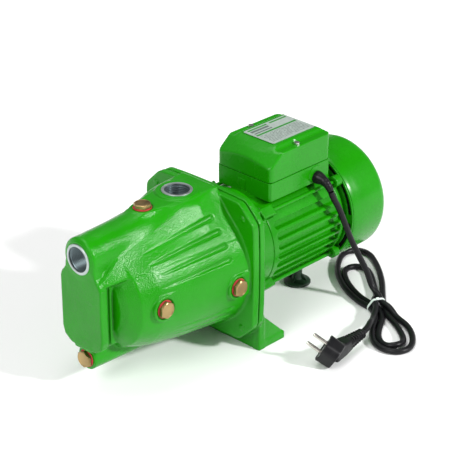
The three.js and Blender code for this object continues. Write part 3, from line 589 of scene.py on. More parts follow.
LOWER_OUTER = on_floor(
    (160, -141, 8.5), (157.5, -152, 5), (155, -163), (150, -180), (139, -197), (124, -211),
    (107, -219), (93, -216), (85.5, -206), (84.5, -193), (89.5, -179), (98.5, -167), (110, -158),
    (125, -149.5), (141, -141),
)
UPPER_OUTER = on_floor(
    (152.5, -106), (155.5, -94), (162, -78), (171, -59.5), (185.5, -37.5), (203.5, -18.5), (224, -4),
    (241, 4), (254, 4), (264, -3.5), (267, -15.5), (262, -29), (251.5, -45), (236.5, -64), (214.5, -87),
    (193, -105.5),
)
LOWER_INNER = on_floor(
    (157, -140), (150, -152), (141, -170), (129, -189), (117, -201.5, 6), (108.5, -206.8, 10.5),
    (98.5, -206, 11), (91.3, -199, 9.5), (90.5, -189, 6), (96, -179.5), (109, -168), (124, -156.5),
    (139, -147),
)
UPPER_INNER = on_floor(
    (161.5, -108), (165, -90), (174, -68), (187, -48), (201, -32.5), (211.5, -27), (222.5, -28.5),
    (230, -37.5), (229, -49.5), (219, -64), (203, -82), (185, -101, 6.5), (171, -114, 10.5),
)
TAIL_ROUTE = [
    (148.5, -131.5, 12.4), (139, -137.5, 13.5), (127, -145, 15), (114, -153, 16.8), (101, -160, 18.2),
    (89.5, -165.5, 18.9), (78.6, -168.3, 18.5),
]


def cord_control_points():
    slots = [(-4.1, HIGH_LAYER), (8.2, LOW_LAYER), (-8.2, LOW_LAYER), (0.0, LOW_LAYER), (4.1, HIGH_LAYER)]
    loops = [LOWER_OUTER, UPPER_OUTER, LOWER_INNER, UPPER_INNER, TAIL_ROUTE]
    points = list(LEAD_ROUTE)
    for (across, height), loop in zip(slots, loops):
        points.append(tie_slot(across, height))
        points.extend(loop)
    return np.array(points, float)


def smooth_path(points, spacing):
    """Even points along a Catmull-Rom curve through the given ones."""
    p = np.vstack([2 * points[0] - points[1], points, 2 * points[-1] - points[-2]])
    dense = []
    for i in range(1, len(p) - 2):
        for t in np.linspace(0, 1, 24, endpoint=False):
            a, b, c, d = p[i - 1], p[i], p[i + 1], p[i + 2]
            dense.append(
                0.5 * (2 * b + (c - a) * t + (2 * a - 5 * b + 4 * c - d) * t**2
                       + (3 * b - a - 3 * c + d) * t**3)
            )
    dense.append(p[-2])
    return resampled(np.array(dense), spacing)


def resampled(dense, spacing):
    lengths = np.concatenate([[0], np.cumsum(np.linalg.norm(np.diff(dense, axis=0), axis=1))])
    wanted = np.linspace(0, lengths[-1], max(4, int(round(lengths[-1] / spacing)) + 1))
    return np.stack([np.interp(wanted, lengths, dense[:, d]) for d in range(3)], -1)


def path_length(points):
    return np.linalg.norm(np.diff(points, axis=0), axis=1).sum()


def curvature(points):
    change = np.zeros_like(points)
    change[1:-1] = points[:-2] - 2 * points[1:-1] + points[2:]
    return change


def settle(points, rounds=420):
    """Lets the bundle relax: strands push each other apart, bends even out, nothing sinks into the floor."""
    start = points.copy()
    count = len(points)
    spacing = path_length(points) / (count - 1)
    hold = np.zeros(count)
    lead_count = int(path_length(np.array(LEAD_ROUTE[:11])) / spacing)
    hold[:lead_count] = 1
    hold[-9:] = 1
    near_tie = np.linalg.norm(points[:, :2] - TIE_CENTRE, axis=1) < 9
    hold[near_tie] = 0.9
    away_in_order = abs(np.arange(count)[:, None] - np.arange(count)[None]) * spacing > 3 * CORD_D
    gap = CORD_D * 1.02
    for _ in range(rounds):
        move = np.zeros_like(points)
        move -= 0.06 * curvature(curvature(points))
        move += 0.006 * (start - points) * np.array([1, 1, 0.5])
        difference = points[:, None] - points[None]
        distance = np.linalg.norm(difference, axis=2) + 1e-9
        close = (distance < gap) & away_in_order
        push = np.where(close, (gap - distance) * 0.3, 0)[:, :, None] * difference / distance[:, :, None]
        move += push.sum(1)
        move[:, 2] -= 0.015
        points = points + move * (1 - hold)[:, None]
        points[:, 2] = np.maximum(points[:, 2], CORD_D / 2 + 0.05)
    return points


def make_cord():
    path = settle(smooth_path(cord_control_points(), 3.5))
    path = resampled(path, 7.0)
    data = bpy.data.curves.new("mains_cord", "CURVE")
    data.dimensions = "3D"
    spline = data.splines.new("NURBS")
    spline.points.add(len(path) - 1)
    for point, place_at in zip(spline.points, path):
        point.co = (*(place_at * MM), 1)
    spline.order_u = 4
    spline.use_endpoint_u = True
    spline.resolution_u = 3
    data.bevel_depth = CORD_D / 2 * MM
    data.bevel_resolution = 5
    data.use_fill_caps = True
    data.materials.append(LOOKS["rubber"])
    cord = in_scene(bpy.data.objects.new("mains_cord", data))
    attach(cord, "pump")
    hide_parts("cord_lead", "cord_hank", "cord_tail")
    return cord, path


mains_cord, cord_path = make_cord()


def make_cable_tie():
    """Flat nylon band round the five strands, with its locking head on top."""
    strands = []
    for here, after in zip(cord_path, cord_path[1:]):
        rel_a = (here[:2] - TIE_CENTRE) @ TIE_ALONG
        rel_b = (after[:2] - TIE_CENTRE) @ TIE_ALONG
        near = abs((here[:2] - TIE_CENTRE) @ TIE_ACROSS) < 30
        if near and (rel_a < 0) != (rel_b < 0):
            t = rel_a / (rel_a - rel_b)
            spot = here + t * (after - here)
            strands.append(((spot[:2] - TIE_CENTRE) @ TIE_ACROSS, spot[2]))
    ring = []
    reach = CORD_D / 2 + 0.15
    for u, v in strands:
        for step in range(24):
            angle = 2 * math.pi * step / 24
            ring.append((u + reach * math.cos(angle), max(0.9, v + reach * math.sin(angle))))
    outline = even_outline(convex_outline(ring), 72)
    bm = bmesh.new()
    layers = []
    for along, grow in ((-1.9, 0.15), (-1.9, 0.75), (1.9, 0.75), (1.9, 0.15)):
        layer = []
        for (u, v), (nu, nv) in zip(outline, outline_normals(outline)):
            x, y = TIE_CENTRE + TIE_ACROSS * (u + nu * grow) + TIE_ALONG * along
            layer.append(bm.verts.new((x, y, max(0.05, v + nv * grow))))
        layers.append(layer)
    bridge(bm, layers + layers[:1])
    top = max(range(len(outline)), key=lambda i: outline[i][1] - abs(outline[i][0]) * 0.3)
    head_u, head_v = outline[top]
    axes = Matrix((
        (TIE_ACROSS[0], TIE_ALONG[0], 0, TIE_CENTRE[0] + TIE_ACROSS[0] * head_u),
        (TIE_ACROSS[1], TIE_ALONG[1], 0, TIE_CENTRE[1] + TIE_ACROSS[1] * head_u),
        (0, 0, 1, head_v + 1.0),
        (0, 0, 0, 1),
    ))
    head = bmesh.ops.create_cube(bm, size=1, matrix=axes @ Matrix.Diagonal((4.6, 4.4, 2.4, 1)))
    edges = {e for v in head["verts"] for e in v.link_edges}
    bmesh.ops.bevel(bm, geom=list(edges), offset=0.7, segments=2, affect="EDGES")
    mesh = bmesh_to_mesh("tie", bm)
    return place("cord_tie", mesh, "tie", replaces=("cable_tie",), smooth=40)


def convex_outline(points):
    points = sorted(set((round(a, 4), round(b, 4)) for a, b in points))

    def half(sequence):
        hull = []
        for p in sequence:
            while len(hull) > 1 and (
                (hull[-1][0] - hull[-2][0]) * (p[1] - hull[-2][1])
                - (hull[-1][1] - hull[-2][1]) * (p[0] - hull[-2][0])
            ) <= 0:
                hull.pop()
            hull.append(p)
        return hull

    return half(points)[:-1] + half(points[::-1])[:-1]


def even_outline(hull, count):
    closed = np.array(hull + hull[:1])
    lengths = np.concatenate([[0], np.cumsum(np.linalg.norm(np.diff(closed, axis=0), axis=1))])
    wanted = np.linspace(0, lengths[-1], count, endpoint=False)
    return [(np.interp(w, lengths, closed[:, 0]), np.interp(w, lengths, closed[:, 1])) for w in wanted]


def outline_normals(outline):
    normals = []
    for i in range(len(outline)):
        a, b = np.array(outline[i - 1]), np.array(outline[(i + 1) % len(outline)])
        d = (b - a) / np.linalg.norm(b - a)
        normals.append((d[1], -d[0]))
    return normals


make_cable_tie()

# ---- mains plug


def plug_axes():
    aim = PIN_AIM / np.linalg.norm(PIN_AIM)
    across = np.cross(aim, (1.0, 0, 0))
    across /= np.linalg.norm(across)
    side = np.cross(across, aim)
    return aim, across, side if side[0] > 0 else -side


def make_plug():
    aim, across, side = plug_axes()

    def field(x, y, z):
        d = [x - PLUG_FACE[0], y - PLUG_FACE[1], z - PLUG_FACE[2]]
        depth = -dot3(d, aim)
        u = dot3(d, across)
        v = dot3(d, side)
        radius = np.sqrt(u**2 + v**2)
        drum = keep(1.4, radius - 18.2 + 0.05 * depth, depth - 20.5, -depth)
        drum = keep(1.2, drum, abs(u) - 16.2, abs(v) - 15.4)
        groove = np.sqrt((abs(u) - 13.6) ** 2 + (abs(v) - 13.2) ** 2) - 0.9
        drum = keep(0.5, drum, -keep(0.4, groove, depth - 17))
        recess = keep(0.8, radius - 15.5, depth - 1.2)
        drum = keep(0.6, drum, -recess)
        start = PLUG_FACE - aim * 13.5 + side * 2
        end = np.array([78.0, -168.6, 18.4])
        n = end - start
        length = np.linalg.norm(n)
        n /= length
        e = [x - start[0], y - start[1], z - start[2]]
        t = dot3(e, n)
        lift = np.cross(n, (0, 0, 1.0))
        lift /= np.linalg.norm(lift)
        up = np.cross(lift, n)
        a = abs(dot3(e, lift))
        b = abs(dot3(e, up))
        taper = np.interp(t, [0, 18, 34, length], [10.5, 9.4, 7.4, 5.4])
        neck = keep(2.5, a - taper, b - taper * 0.92, t - length, -t - 4)
        ribbed = (t > 28) & (t < length - 4)
        phase = abs(((t - 28) % 4.6) - 2.3)
        slot = keep(0.4, 1.1 - phase, 4.6 - np.maximum(a, b * 1.05), (1.4 - np.minimum(a, b)))
        neck = np.where(ribbed, keep(0.4, neck, -slot), neck)
        return join(2.5, drum, neck)

    carved("mains_plug", "mains_plug_body", "plug_black", field, (-12, -194, 0), (82, -150, 44), 0.7)
    for number, half in enumerate((-0.5, 0.5), 1):
        base = PLUG_FACE + across * half * 19
        r = 2.4
        profile = [(0, -2), (r, -2), (r, 17.6), (r * 0.86, 18.6), (r * 0.5, 19.1), (0, 19.2)]
        pin = lathe("pin", profile, base, aim, 24)
        place(f"plug_pin_{number}", pin, "nickel", replaces=(f"mains_plug_pin_{number}",))


make_plug()


def make_gland():
    """Rubber strain relief: a thick dome on the box that narrows and bends down to the cord."""
    points = smooth_path(np.array([
        (123, -45.6, 176), (123, -51, 176), (123.3, -58, 174.4), (124, -64.8, 169.8), (124.7, -69.3, 163.0),
    ], float), 0.8)
    lengths = np.linspace(0, 1, len(points))
    radii = np.interp(lengths, [0, 0.06, 0.2, 0.42, 0.62, 0.85, 1], [8.0, 8.6, 8.2, 6.3, 5.4, 4.7, 4.2])
    tangents = np.gradient(points, axis=0)
    bm = bmesh.new()
    rings = []
    for point, tangent, radius, share in zip(points, tangents, radii, lengths):
        axes = frame_along(tangent, (1, 0, 0))
        ridge = 0.15 * math.cos(share * 2 * math.pi * 8) if 0.4 < share < 0.8 else 0
        rings.append(add_ring(bm, point, *axes[:2], radius + ridge, 32))
    bridge(bm, rings)
    bm.faces.new(rings[0])
    bm.faces.new(rings[-1])
    mesh = bmesh_to_mesh("gland", bm)
    return place("gland_boot", mesh, "rubber", replaces=("cable_gland",), smooth=50)


make_gland()

# ---- pump casing

FLUTE_ANGLES = (57.6, 45.8, 33.2, 21.8)
LOW_FLUTE_ANGLES = (-27.0, -37.5, -47.5)
# the flank from the drum up to the flat top: its lean in degrees and its distance from the shaft line
FLANK_LEAN = ([-140, -118, -100, -76, -58, -40], [42.5, 39.7, 37.3, 34.3, 37, 40.4])
FLANK_OUT = ([-240, -198, -168, -140, -112, -80, -54, -40], [58, 65.2, 70.4, 75.4, 79.3, 82.4, 84.6, 86.6])


def casing_field(x, y, z):
    v = z - AXIS_Z
    stations = [-215, -207.5, -203, -193, -168, -140, -112, -80, -54, -46, -40, -30]
    radii = [36, 39, 49, 62.5, 71, 76, 80, 83, 85.5, 86.5, 88, 89]
    drum = keep(1.0, turned_field(x, y, z, stations, radii, 5), -207.5 - x, x + 36)
    flange = keep(1.2, octagon_field(y, z), FLANGE_X[0] - x, x - FLANGE_X[1])
    bumps = rod_field(abs(y), abs(v), BOLT_OUT, BOLT_OUT, 3.8, x, FLANGE_X[0] - 1.6, FLANGE_X[1] - 1)

    # front plate, narrower towards the suction neck and at the bottom
    half_width = np.interp(z, [58, 66, 76, 144, 151, 158, 166], [20, 32, 35, 35, 31, 26, 25])
    slab = keep(2.2, (abs(y) - half_width) * 0.85, 58 - z, z - 166, SLAB_X - x, x + 221.5)
    waist = box_field(x, y, z, (-226, -27, 62), (-192, 27, 162), 4)
    thin_rib = box_field(x, y, z, (-214.5, -30.5, 66), (-211.5, 30.5, 150), 1.2)
    neck = rod_field(y, z, 0, SUCTION_Z, 26, x, SLAB_X, -118, 4.5)
    neck_rise = capsule_field(x, y, z, (-205, 0, 175.5), (-128, 0, 178), 25.5, 29)
    web = box_field(x, y, z, (SLAB_X + 0.5, -25, 120), (-112, 25, 178), 5)
    port_boss = rod_field(y, z, 0, SUCTION_Z, 22.0, x, SLAB_X - 0.9, -200, 0.6)

    # shoulder on each side: its sharp upper edge climbs from the plate's corner to the neck
    ax, ay, az = x + 232, abs(y) - 30.6, z - 150.6
    ramp = -0.337 * ax + 0.804 * ay + 0.491 * az
    roof = -0.56 * ax + 0.12 * ay + 0.817 * az
    # its flank leaves the drum along a tangent and rises to the neck and the flat top
    lean = np.radians(np.interp(x, *FLANK_LEAN))
    flank = (np.cos(lean) * abs(y) + np.sin(lean) * v - np.interp(x, *FLANK_OUT)) * 0.97
    neck_side = 0.5 * abs(y) + 0.866 * (z - 176.4) - np.interp(
        x, [-205, -140, -118, -100, -40], [25.6, 28.4, 34.4, 40, 46]
    )
    under = -0.062 * ax + 0.598 * (abs(y) - 33) - 0.8 * (z - 147)
    shoulder = keep(0.9, keep(6.0, ramp, flank), roof, SLAB_X + 0.6 - x, x + 38)
    shoulder = keep(3.0, keep(2.0, shoulder, under), neck_side)
    top = np.interp(x, [-158, -146, -132, -118, -40], [200, 204.2, 206, 206.6, 210.5])
    shoulder = keep(1.0, shoulder, z - top)

    # flat top that carries the fill plug and the discharge port
    half = np.interp(x, [-158, -146, -118, -40], [6, 12.5, 17, 29])
    shelf = keep(1.0, (abs(y) - half - (top - z) * 0.5) * 0.89, z - top, 150 - z, -158 - x, x + 38)
    boss = rod_field(x, y, DISCHARGE_X, 0, 26.5, z, 150, 210.2, 1.2)
    fill_pad = rod_field(x, y, FILL_X, 0, 15.5, z, 180, 206, 1.6)

    drain = keep(
        1.6,
        np.sqrt(y**2 + (z - DRAIN_Z) ** 2) - np.interp(x, [-226, -120], [15, 17.5]),
        -226.5 - x,
        x + 118,
    )
    drain_web = box_field(x, y, z, (-224.5, -14.6, 42), (-120, 14.6, 70), 2)
    front_web = box_field(x, y, z, (SLAB_X + 0.4, -14.6, 55.2), (-190, 14.6, 72), 1.2)
    drain_web = join(1.0, drain_web, front_web)

    pads = []
    for key, reach, size in (("gauge_plug_front", 55, 16.4), ("gauge_plug_rear", 30, 16.0)):
        seat = SERVICE_PLUGS[key][0]
        along = np.clip(x - seat[0], 0, reach)
        around = np.sqrt((x - seat[0] - along) ** 2 + (z - seat[2]) ** 2) - size
        pads.append(keep(1.2, around, seat[1] - 1.4 - y, y + 40, x + 34))

    whole = join(4.0, drum, shoulder)
    whole = join(2.0, whole, join(3.5, waist, web))
    whole = join(3.0, whole, drain, drain_web)
    whole = join(3.2, whole, flange)
    whole = join(0.8, whole, bumps, thin_rib)
    whole = join(1.6, whole, slab)
    whole = join(2.5, whole, join(3.0, neck, neck_rise))
    whole = join(0.8, whole, port_boss)
    whole = join(3.5, whole, shelf)
    whole = join(2.2, whole, boss, fill_pad)
    whole = join(1.8, whole, *pads)

    # shallow tapered flutes in the drum, widest by the flange and fading towards the ports
    flutes = [(a, -66, -168) for a in FLUTE_ANGLES] + [(a, -60, -150) for a in LOW_FLUTE_ANGLES]
    for degrees, near, far in flutes:
        angle = math.radians(degrees)
        sink = 2.5 if degrees > 0 else 1.7
        for mirror in (-1, 1):
            def on_surface(at, out):
                r = np.interp(at, stations, radii)
                tilt = angle - math.radians(np.interp(at, *FLANK_LEAN))
                if tilt > 0:
                    r = max(r, np.interp(at, *FLANK_OUT) / math.cos(tilt))
                return (at, mirror * (r + out) * math.cos(angle), AXIS_Z + (r + out) * math.sin(angle))

            middle = on_surface((near + far) / 2, 3.2 - sink * 0.5)
            groove = np.minimum(
                capsule_field(x, y, z, on_surface(near, 4.2 - sink), middle, 4.2, 3.2),
                capsule_field(x, y, z, middle, on_surface(far, 2.4), 3.2, 2.2),
            )
            whole = keep(0.5, whole, -groove)

    cuts = [
        rod_field(y, z, 0, SUCTION_Z, PORT_BORE_R + 1.6, x, -240, -192, 0.4),
        rod_field(x, y, DISCHARGE_X, 0, PORT_BORE_R + 1.6, z, 172, 220, 0.4),
        rod_field(x, y, FILL_X, 0, 12.6, z, 206, 222, 0.3),
        rod_field(x, z, -166, 111.5, 12.7, -y, 70.5, 90, 0.3),
        rod_field(x, z, -59.5, 104.5, 12.7, -y, 86, 100, 0.3),
        rod_field(x, y, FILL_X, 0, 6.9, z, 196, 220, 0.3),
        rod_field(y, z, 0, DRAIN_Z, 6.9, -x, 214, 240, 0.3),
        turned_field(x, y, z, [-150, -36, -20], [50, 79, 79]) + np.maximum(0, -60 - x),
    ]
    for cut in cuts:
        whole = keep(0.4, whole, -cut)
    return whole


def threaded_port(name, origin, direction, look, depth):
    """Bare machined face round a port, and the pipe thread cut inside it."""
    r, outer = PORT_BORE_R, PORT_RING_R
    face = [(r + 0.6, 0.0), (outer - 0.5, 0.0), (outer, -0.5), (outer, -3.0)]
    face += [(r + 2.2, -3.0), (r + 0.4, -1.4)]
    place(name, lathe(name, face, origin, direction, 72), look)
    pitch = 2.309
    sleeve = [(r + 2.6, -1.8), (r + 2.6, -depth)]
    for number in range(int((depth - 4) / pitch), 0, -1):
        at = -2 - pitch * number
        sleeve += [(r, at), (r + 1.4, at + pitch * 0.5)]
    sleeve += [(r + 0.6, -1.8)]
    place(name + "_thread", lathe(name, sleeve, origin, direction, 72), "port_thread")


carved("casing_shell", "pump_casing", "casting", casing_field, CASING_LOW, CASING_HIGH, 1.3)
threaded_port("suction_port_ring", (CASING_LOW[0], 0, SUCTION_Z), (-1, 0, 0), "port_ring", 34)
threaded_port("discharge_port_ring", (DISCHARGE_X, 0, CASING_HIGH[2]), (0, 0, 1), "port_ring_top", 34)

# ---- service plugs


def make_service_plug(name, seat, out, washer):
    axes = frame_along(out)
    seat = np.array(seat, float)
    screw_body, washer_body = PLUG_BODY[name]
    rim = 11.3
    seal = lathe(washer, [
        (7.2, 0.3), (rim - 0.3, 0.3), (rim, 0.6), (rim, 1.2), (rim - 0.3, 1.5), (7.2, 1.5),
    ], seat, out, 48)
    place(f"{washer}_ring", seal, "red_fibre", washer_body, replaces=(washer,))

    bm = bmesh.new()
    under, height, apothem = 1.5, 5.2, 9.55

    def hexagon_radius(angle):
        turn = (angle + math.pi / 6) % (math.pi / 3) - math.pi / 6
        return apothem / math.cos(turn)

    levels = [(0.0, 9.6), (0.35, 10.4), (0.6, 99), (height - 1.2, 99), (height - 0.8, 10.45),
              (height - 0.25, 9.55), (height, 9.0), (height, 8.2), (height - 0.3, 7.9)]
    rows = []
    for up, limit in levels:
        centre = seat + axes[2] * (under + up)
        rows.append(add_ring(bm, centre, *axes[:2], lambda angle: min(hexagon_radius(angle), limit), 72))
    bridge(bm, rows)
    bm.faces.new(rows[0])
    bm.faces.new(rows[-1])
    shank = [(0, -8.0), (5.6, -8.0)]
    for turn in range(7):
        shank += [(6.5, -7.4 + turn * 1.337), (5.8, -6.75 + turn * 1.337)]
    shank += [(6.0, 1.9), (0, 1.9)]
    screw = lathe("shank", shank, seat, out, 36)
    bm.from_mesh(screw)
    bpy.data.meshes.remove(screw)
    mesh = bmesh_to_mesh(name, bm)
    place(f"{name}_screw", mesh, "brass", screw_body, replaces=(name,), smooth=28)


for plug_name, (seat_at, out_to, washer_name) in SERVICE_PLUGS.items():
    make_service_plug(plug_name, seat_at, out_to, washer_name)

# ---- motor bracket and foot


def from_rods(y, v):
    """Distance from the centre of the nearest tie rod."""
    return np.sqrt((abs(y) - ROD_Y) ** 2 + (abs(v) - ROD_Z) ** 2)


def lug_axes(y, v):
    """How far a point lies out from the shaft line towards a tie rod, and to the side of that line."""
    angle = math.atan2(ROD_Z, ROD_Y)
    out = abs(y) * math.cos(angle) + abs(v) * math.sin(angle)
    side = -abs(y) * math.sin(angle) + abs(v) * math.cos(angle)
    return out, side


def bracket_field(x, y, z):
    v = z - AXIS_Z
    radius = np.sqrt(y**2 + v**2)
    plate = keep(1.2, octagon_field(y, z, 0.6), BRACKET_X[0] - x, x - BRACKET_X[1])
    bell = keep(1.5, turned_field(x, y, z, [-30, -19, -12, 24, 30], [73, 72.5, 69, 67.2, 67.2]),
                BRACKET_X[1] - 2 - x)
    bell = keep(0.5, bell, x - BELL_REAR_X - 0.2)
    out, side = lug_axes(y, v)
    lugs = keep(1.2, abs(out - 68.5) - 8, abs(side) - 7, 15 - x, x - 37)
    base = box_field(x, y, z, (-20.5, -85, 0), (24, 85, 9), 1.6)
    wall_top = 60 - 0.4 * np.maximum(0, abs(y) - 60)
    wall = keep(1.6, z - wall_top, -z, abs(y) - 85, BRACKET_X[1] - 1 - x, x + 13.3)
    slope = keep(1.5, (z - 9 - (24 - x) * 0.97) * 0.72, x - 24, -z, BRACKET_X[1] - x)
    near = np.minimum(abs(abs(y) - 81), abs(abs(y) - 20)) - 4
    gussets = keep(1.5, slope, near)
    whole = join(5.0, plate, bell)
    whole = join(3.0, whole, lugs)
    foot = join(4.0, base, wall, gussets)
    whole = join(4.0, whole, foot)
    hub = keep(1, radius - 25, BRACKET_X[1] - 1 - x, x - 18)
    inside = keep(0.5, radius - 60.5, -19 - x)
    whole = keep(0.6, whole, -inside)
    whole = join(1.0, whole, hub)
    cuts = [
        radius - 14.3 + np.maximum(0, x + 22),
        radius - 9.2,
        radius - 20.3 + np.maximum(0, 3.7 - x),
        np.sqrt((x - 6) ** 2 + (abs(y) - 66) ** 2) - 4.5 + np.maximum(0, z - 14),
        from_rods(y, v) - ROD_HOLE_R + np.maximum(0, 18 - x),
        from_bolts(y, v) - 3.5,
    ]
    for cut in cuts:
        whole = keep(0.6, whole, -cut)
    return whole


carved(
    "bracket_casting", "motor_bracket", "casting", bracket_field,
    (-28.3, -94, 0), (37, 94, 203.5), 1.3,
)


def make_flange_gasket():
    """Black sheet between the two flanges, set back a little from their edges."""

    def field(x, y, z):
        hole = np.sqrt(y**2 + (z - AXIS_Z) ** 2) - 79.5
        bolts = from_bolts(y, z - AXIS_Z) - 3.8
        sheet = keep(0.2, octagon_field(y, z, 2.6), FLANGE_X[1] + 0.15 - x, x - BRACKET_X[0] + 0.15)
        return keep(0.2, sheet, -hole, -bolts)

    low, high, step = (FLANGE_X[1], -92, 18), (BRACKET_X[0], 92, 202), (0.55, 1.6, 1.6)
    carved("flange_gasket", "casing_gasket", "gasket", field, low, high, step)


make_flange_gasket()


def make_rear_foot():
    x, r = 143.0, 18.0
    profile = [(0, 0), (r - 1, 0), (r, 1), (r, 3.2), (r - 1, 4.4), (15, 5.2), (12, 6.2), (7.5, 7.2),
               (6.4, 10), (6.2, 36), (7.4, 37.5), (7.4, 47.4), (0, 47.4)]
    bm = bmesh.new()
    bm.from_mesh(lathe("foot", profile, (x, 0, 0), (0, 0, 1), 56))
    for turn in range(4):
        wedge = bmesh.ops.create_cube(bm, size=1, matrix=Matrix.Translation((x, 0, 0))
                                      @ Matrix.Rotation(turn * math.pi / 2 + 0.3, 4, "Z")
                                      @ Matrix.Translation((9.5, 0, 10.5)) @ Matrix.Diagonal((9, 2, 12, 1)))
        for vert in wedge["verts"]:
            local = Matrix.Rotation(-turn * math.pi / 2 - 0.3, 4, "Z") @ (vert.co - Vector((x, 0, 0)))
            if local.x > 10 and vert.co.z > 10:
                vert.co.z -= 9.5
    mesh = bmesh_to_mesh("rear_foot_mesh", bm)
    return place("rear_rubber_foot", mesh, "foot", replaces=("rear_foot",))


make_rear_foot()

# ---- motor


def housing_field(x, y, z):
    v = z - AXIS_Z
    radius = np.sqrt(y**2 + v**2)
    x0, x1 = HOUSING_X
    shell = radius - HOUSING_R
    envelope = keep(1.0, radius - FIN_R, abs(v) - 54.2)
    groove = -99.0
    reach = np.maximum(0, x0 + 13 - x)
    for middle in (6.5, 19.5, 32.5, 45.5):
        channel = np.sqrt((abs(v) - middle) ** 2 + reach**2) - (4.5 - 0.06 * np.clip(FIN_R - radius, -2, 6))
        channel = keep(0.8, channel, 40 - abs(y) + np.where(abs(v) > 40, 30, 0))
        groove = np.maximum(groove, -channel)
    fins = keep(1.1, envelope, groove)
    rail_low = box_field(x, abs(y), z, (x0, 32, 53.5), (x1, 46, 70), 1.2)
    channel = box_field(x, abs(y), z, (x0 + 5, 42.5, 58.5), (x1 + 5, 60, 64.5), 0.8)
    rail = keep(0.8, rail_low, -channel)
    seat = box_field(x, y, z, (60, -30, 160), (130, 30, 170), 1)
    whole = join(1.5, shell, fins)
    whole = join(1.2, whole, rail)
    whole = join(1.0, whole, seat)
    whole = keep(0.5, whole, x0 - x, x - x1)
    out, side = lug_axes(y, v)
    lug_room = keep(0.5, abs(out - 68.5) - 8.3, abs(side) - 7.3, x - 37.3)
    whole = keep(0.5, whole, -lug_room, -(radius - 57))
    return whole


def make_tie_rods():
    places = [(-ROD_Y, ROD_Z), (ROD_Y, ROD_Z), (ROD_Y, -ROD_Z), (-ROD_Y, -ROD_Z)]
    for number, (y, v) in enumerate(places, 1):
        r = ROD_R
        profile = [(0, 20), (r, 20), (r, 160.8), (4.1, 160.8), (4.6, 161.2), (4.6, 163.6), (4.0, 164.2),
                   (r, 164.3), (r, 165.0), (r - 0.5, 165.4), (0, 165.4)]
        rod = lathe("rod", profile, (0, y, AXIS_Z + v), (1, 0, 0), 28)
        place(f"motor_tie_rod_{number}", rod, "die_cast", replaces=(f"tie_rod_{number}",))


def shield_field(x, y, z):
    v = z - AXIS_Z
    radius = np.sqrt(y**2 + v**2)
    rim = keep(1.0, radius - 66, 150.4 - x, x - 156.5)
    dome = keep(1.5, turned_field(x, y, z, [148, 156, 163, 166], [64, 63, 58, 26]), 150.4 - x, x - 166)
    flange = keep(0.5, radius - 74.8, 56 - radius, 162.8 - x, x - 165.3)
    turn = np.arctan2(v, y)
    pitch = 2 * math.pi / 8
    off = ((turn + pitch) % pitch - pitch / 2) * 70
    slot = keep(1.0, abs(off) - 21.5, abs(radius - 69.4) - 2.7)
    flange = keep(0.5, flange, -slot)
    lugs = keep(1.0, from_rods(y, v) - 7.5, 150.4 - x, x - 161)
    whole = join(1.5, rim, dome, flange)
    whole = join(2.0, whole, lugs)
    whole = keep(0.4, whole, ROD_HOLE_R - from_rods(y, v), -(radius - 17.5) - np.maximum(0, x - 162))
    return whole


def make_shield():
    low, high = (150.4, -75, 35), (166, 75, 185)
    carved("rear_shield", "rear_end_shield", "die_cast", shield_field, low, high, 1.1)
    # Painted shade: a thin black disc just behind the grille slots, standing for the dark space inside the
    # fan cover
    ring = [(57.5, 166.3), (COVER_R - 3.2, 166.3), (COVER_R - 3.2, 167.1), (57.5, 167.1)]
    place("fan_cover_shade_disc", lathe("fan_cover_shade_disc", ring, (0, 0, AXIS_Z), (1, 0, 0), 96), "plug_black")


carved(
    "motor_shell", "motor_housing", "die_cast", housing_field,
    (HOUSING_X[0], -68, 42), (HOUSING_X[1], 68, 178), (1.5, 0.65, 0.65),
)
make_tie_rods()
make_shield()

# ---- fan cover


def make_fan_cover():
    """Thin drawn shell with a rolled front lip, a big rear radius and a slotted rear grille."""
    front, rear = COVER_LOW[0], COVER_HIGH[0]
    r, bend, wall = COVER_R, 14.0, 1.8
    rings = [(r - 2.0, front), (r - 1.4, front + 6), (r - 0.6, front + 12), (r, front + 18),
             (r, front + 34), (r, rear - bend)]
    rings += [
        (r - bend + bend * math.cos(a), rear - bend + bend * math.sin(a))
        for a in np.radians([15, 30, 45, 60, 75, 90])
    ]
    slots = [(50, 34), (34, 18)]
    rings += [(e, rear) for e in (56, 50, 34, 18, 12)]
    sides = 144
    bm = bmesh.new()
    rows = []
    for radius, x in rings:
        rows.append(add_ring(bm, np.array((x, 0, AXIS_Z)), *np.eye(3)[1:], radius, sides))
    for ring in range(len(rows) - 1):
        inner, outer = rings[ring + 1][0], rings[ring][0]
        holed = any(outer <= high + 1e-6 and inner >= low - 1e-6 for high, low in slots)
        for i in range(sides):
            if holed and i % 12 in ((4, 5) if outer > 34 else (4, 5, 6)):
                continue
            j = (i + 1) % sides
            bm.faces.new((rows[ring][i], rows[ring][j], rows[ring + 1][j], rows[ring + 1][i]))
    bm.faces.new(rows[-1])
    mesh = bmesh_to_mesh("fan_cover_mesh", bm)
    cover = place("fan_cover_shell", mesh, "moulded", replaces=("fan_cover",), smooth=30)
    thick = cover.modifiers.new("wall", "SOLIDIFY")
    thick.thickness = wall * MM
    thick.offset = -1
    thick.use_even_offset = True
    soften = cover.modifiers.new("edges", "BEVEL")
    soften.width = 0.35 * MM
    soften.segments = 2
    soften.limit_method = "ANGLE"
    soften.angle_limit = math.radians(40)


make_fan_cover()

# ---- terminal box


def cut_block(low, high, planes):
    """A block trimmed by planes, each a point and a normal that points to the side cut away."""
    bm = bmesh.new()
    size = [b - a for a, b in zip(low, high)]
    centre = [(a + b) / 2 for a, b in zip(low, high)]
    bmesh.ops.create_cube(bm, size=1, matrix=Matrix.Translation(centre) @ Matrix.Diagonal((*size, 1)))
    for point, normal in planes:
        cut = bmesh.ops.bisect_plane(
            bm, geom=bm.verts[:] + bm.edges[:] + bm.faces[:], plane_co=point, plane_no=normal,
            clear_outer=True,
        )
        rim = [e for e in cut["geom_cut"] if isinstance(e, bmesh.types.BMEdge)]
        if rim:
            bmesh.ops.contextual_create(bm, geom=rim)
    return bm


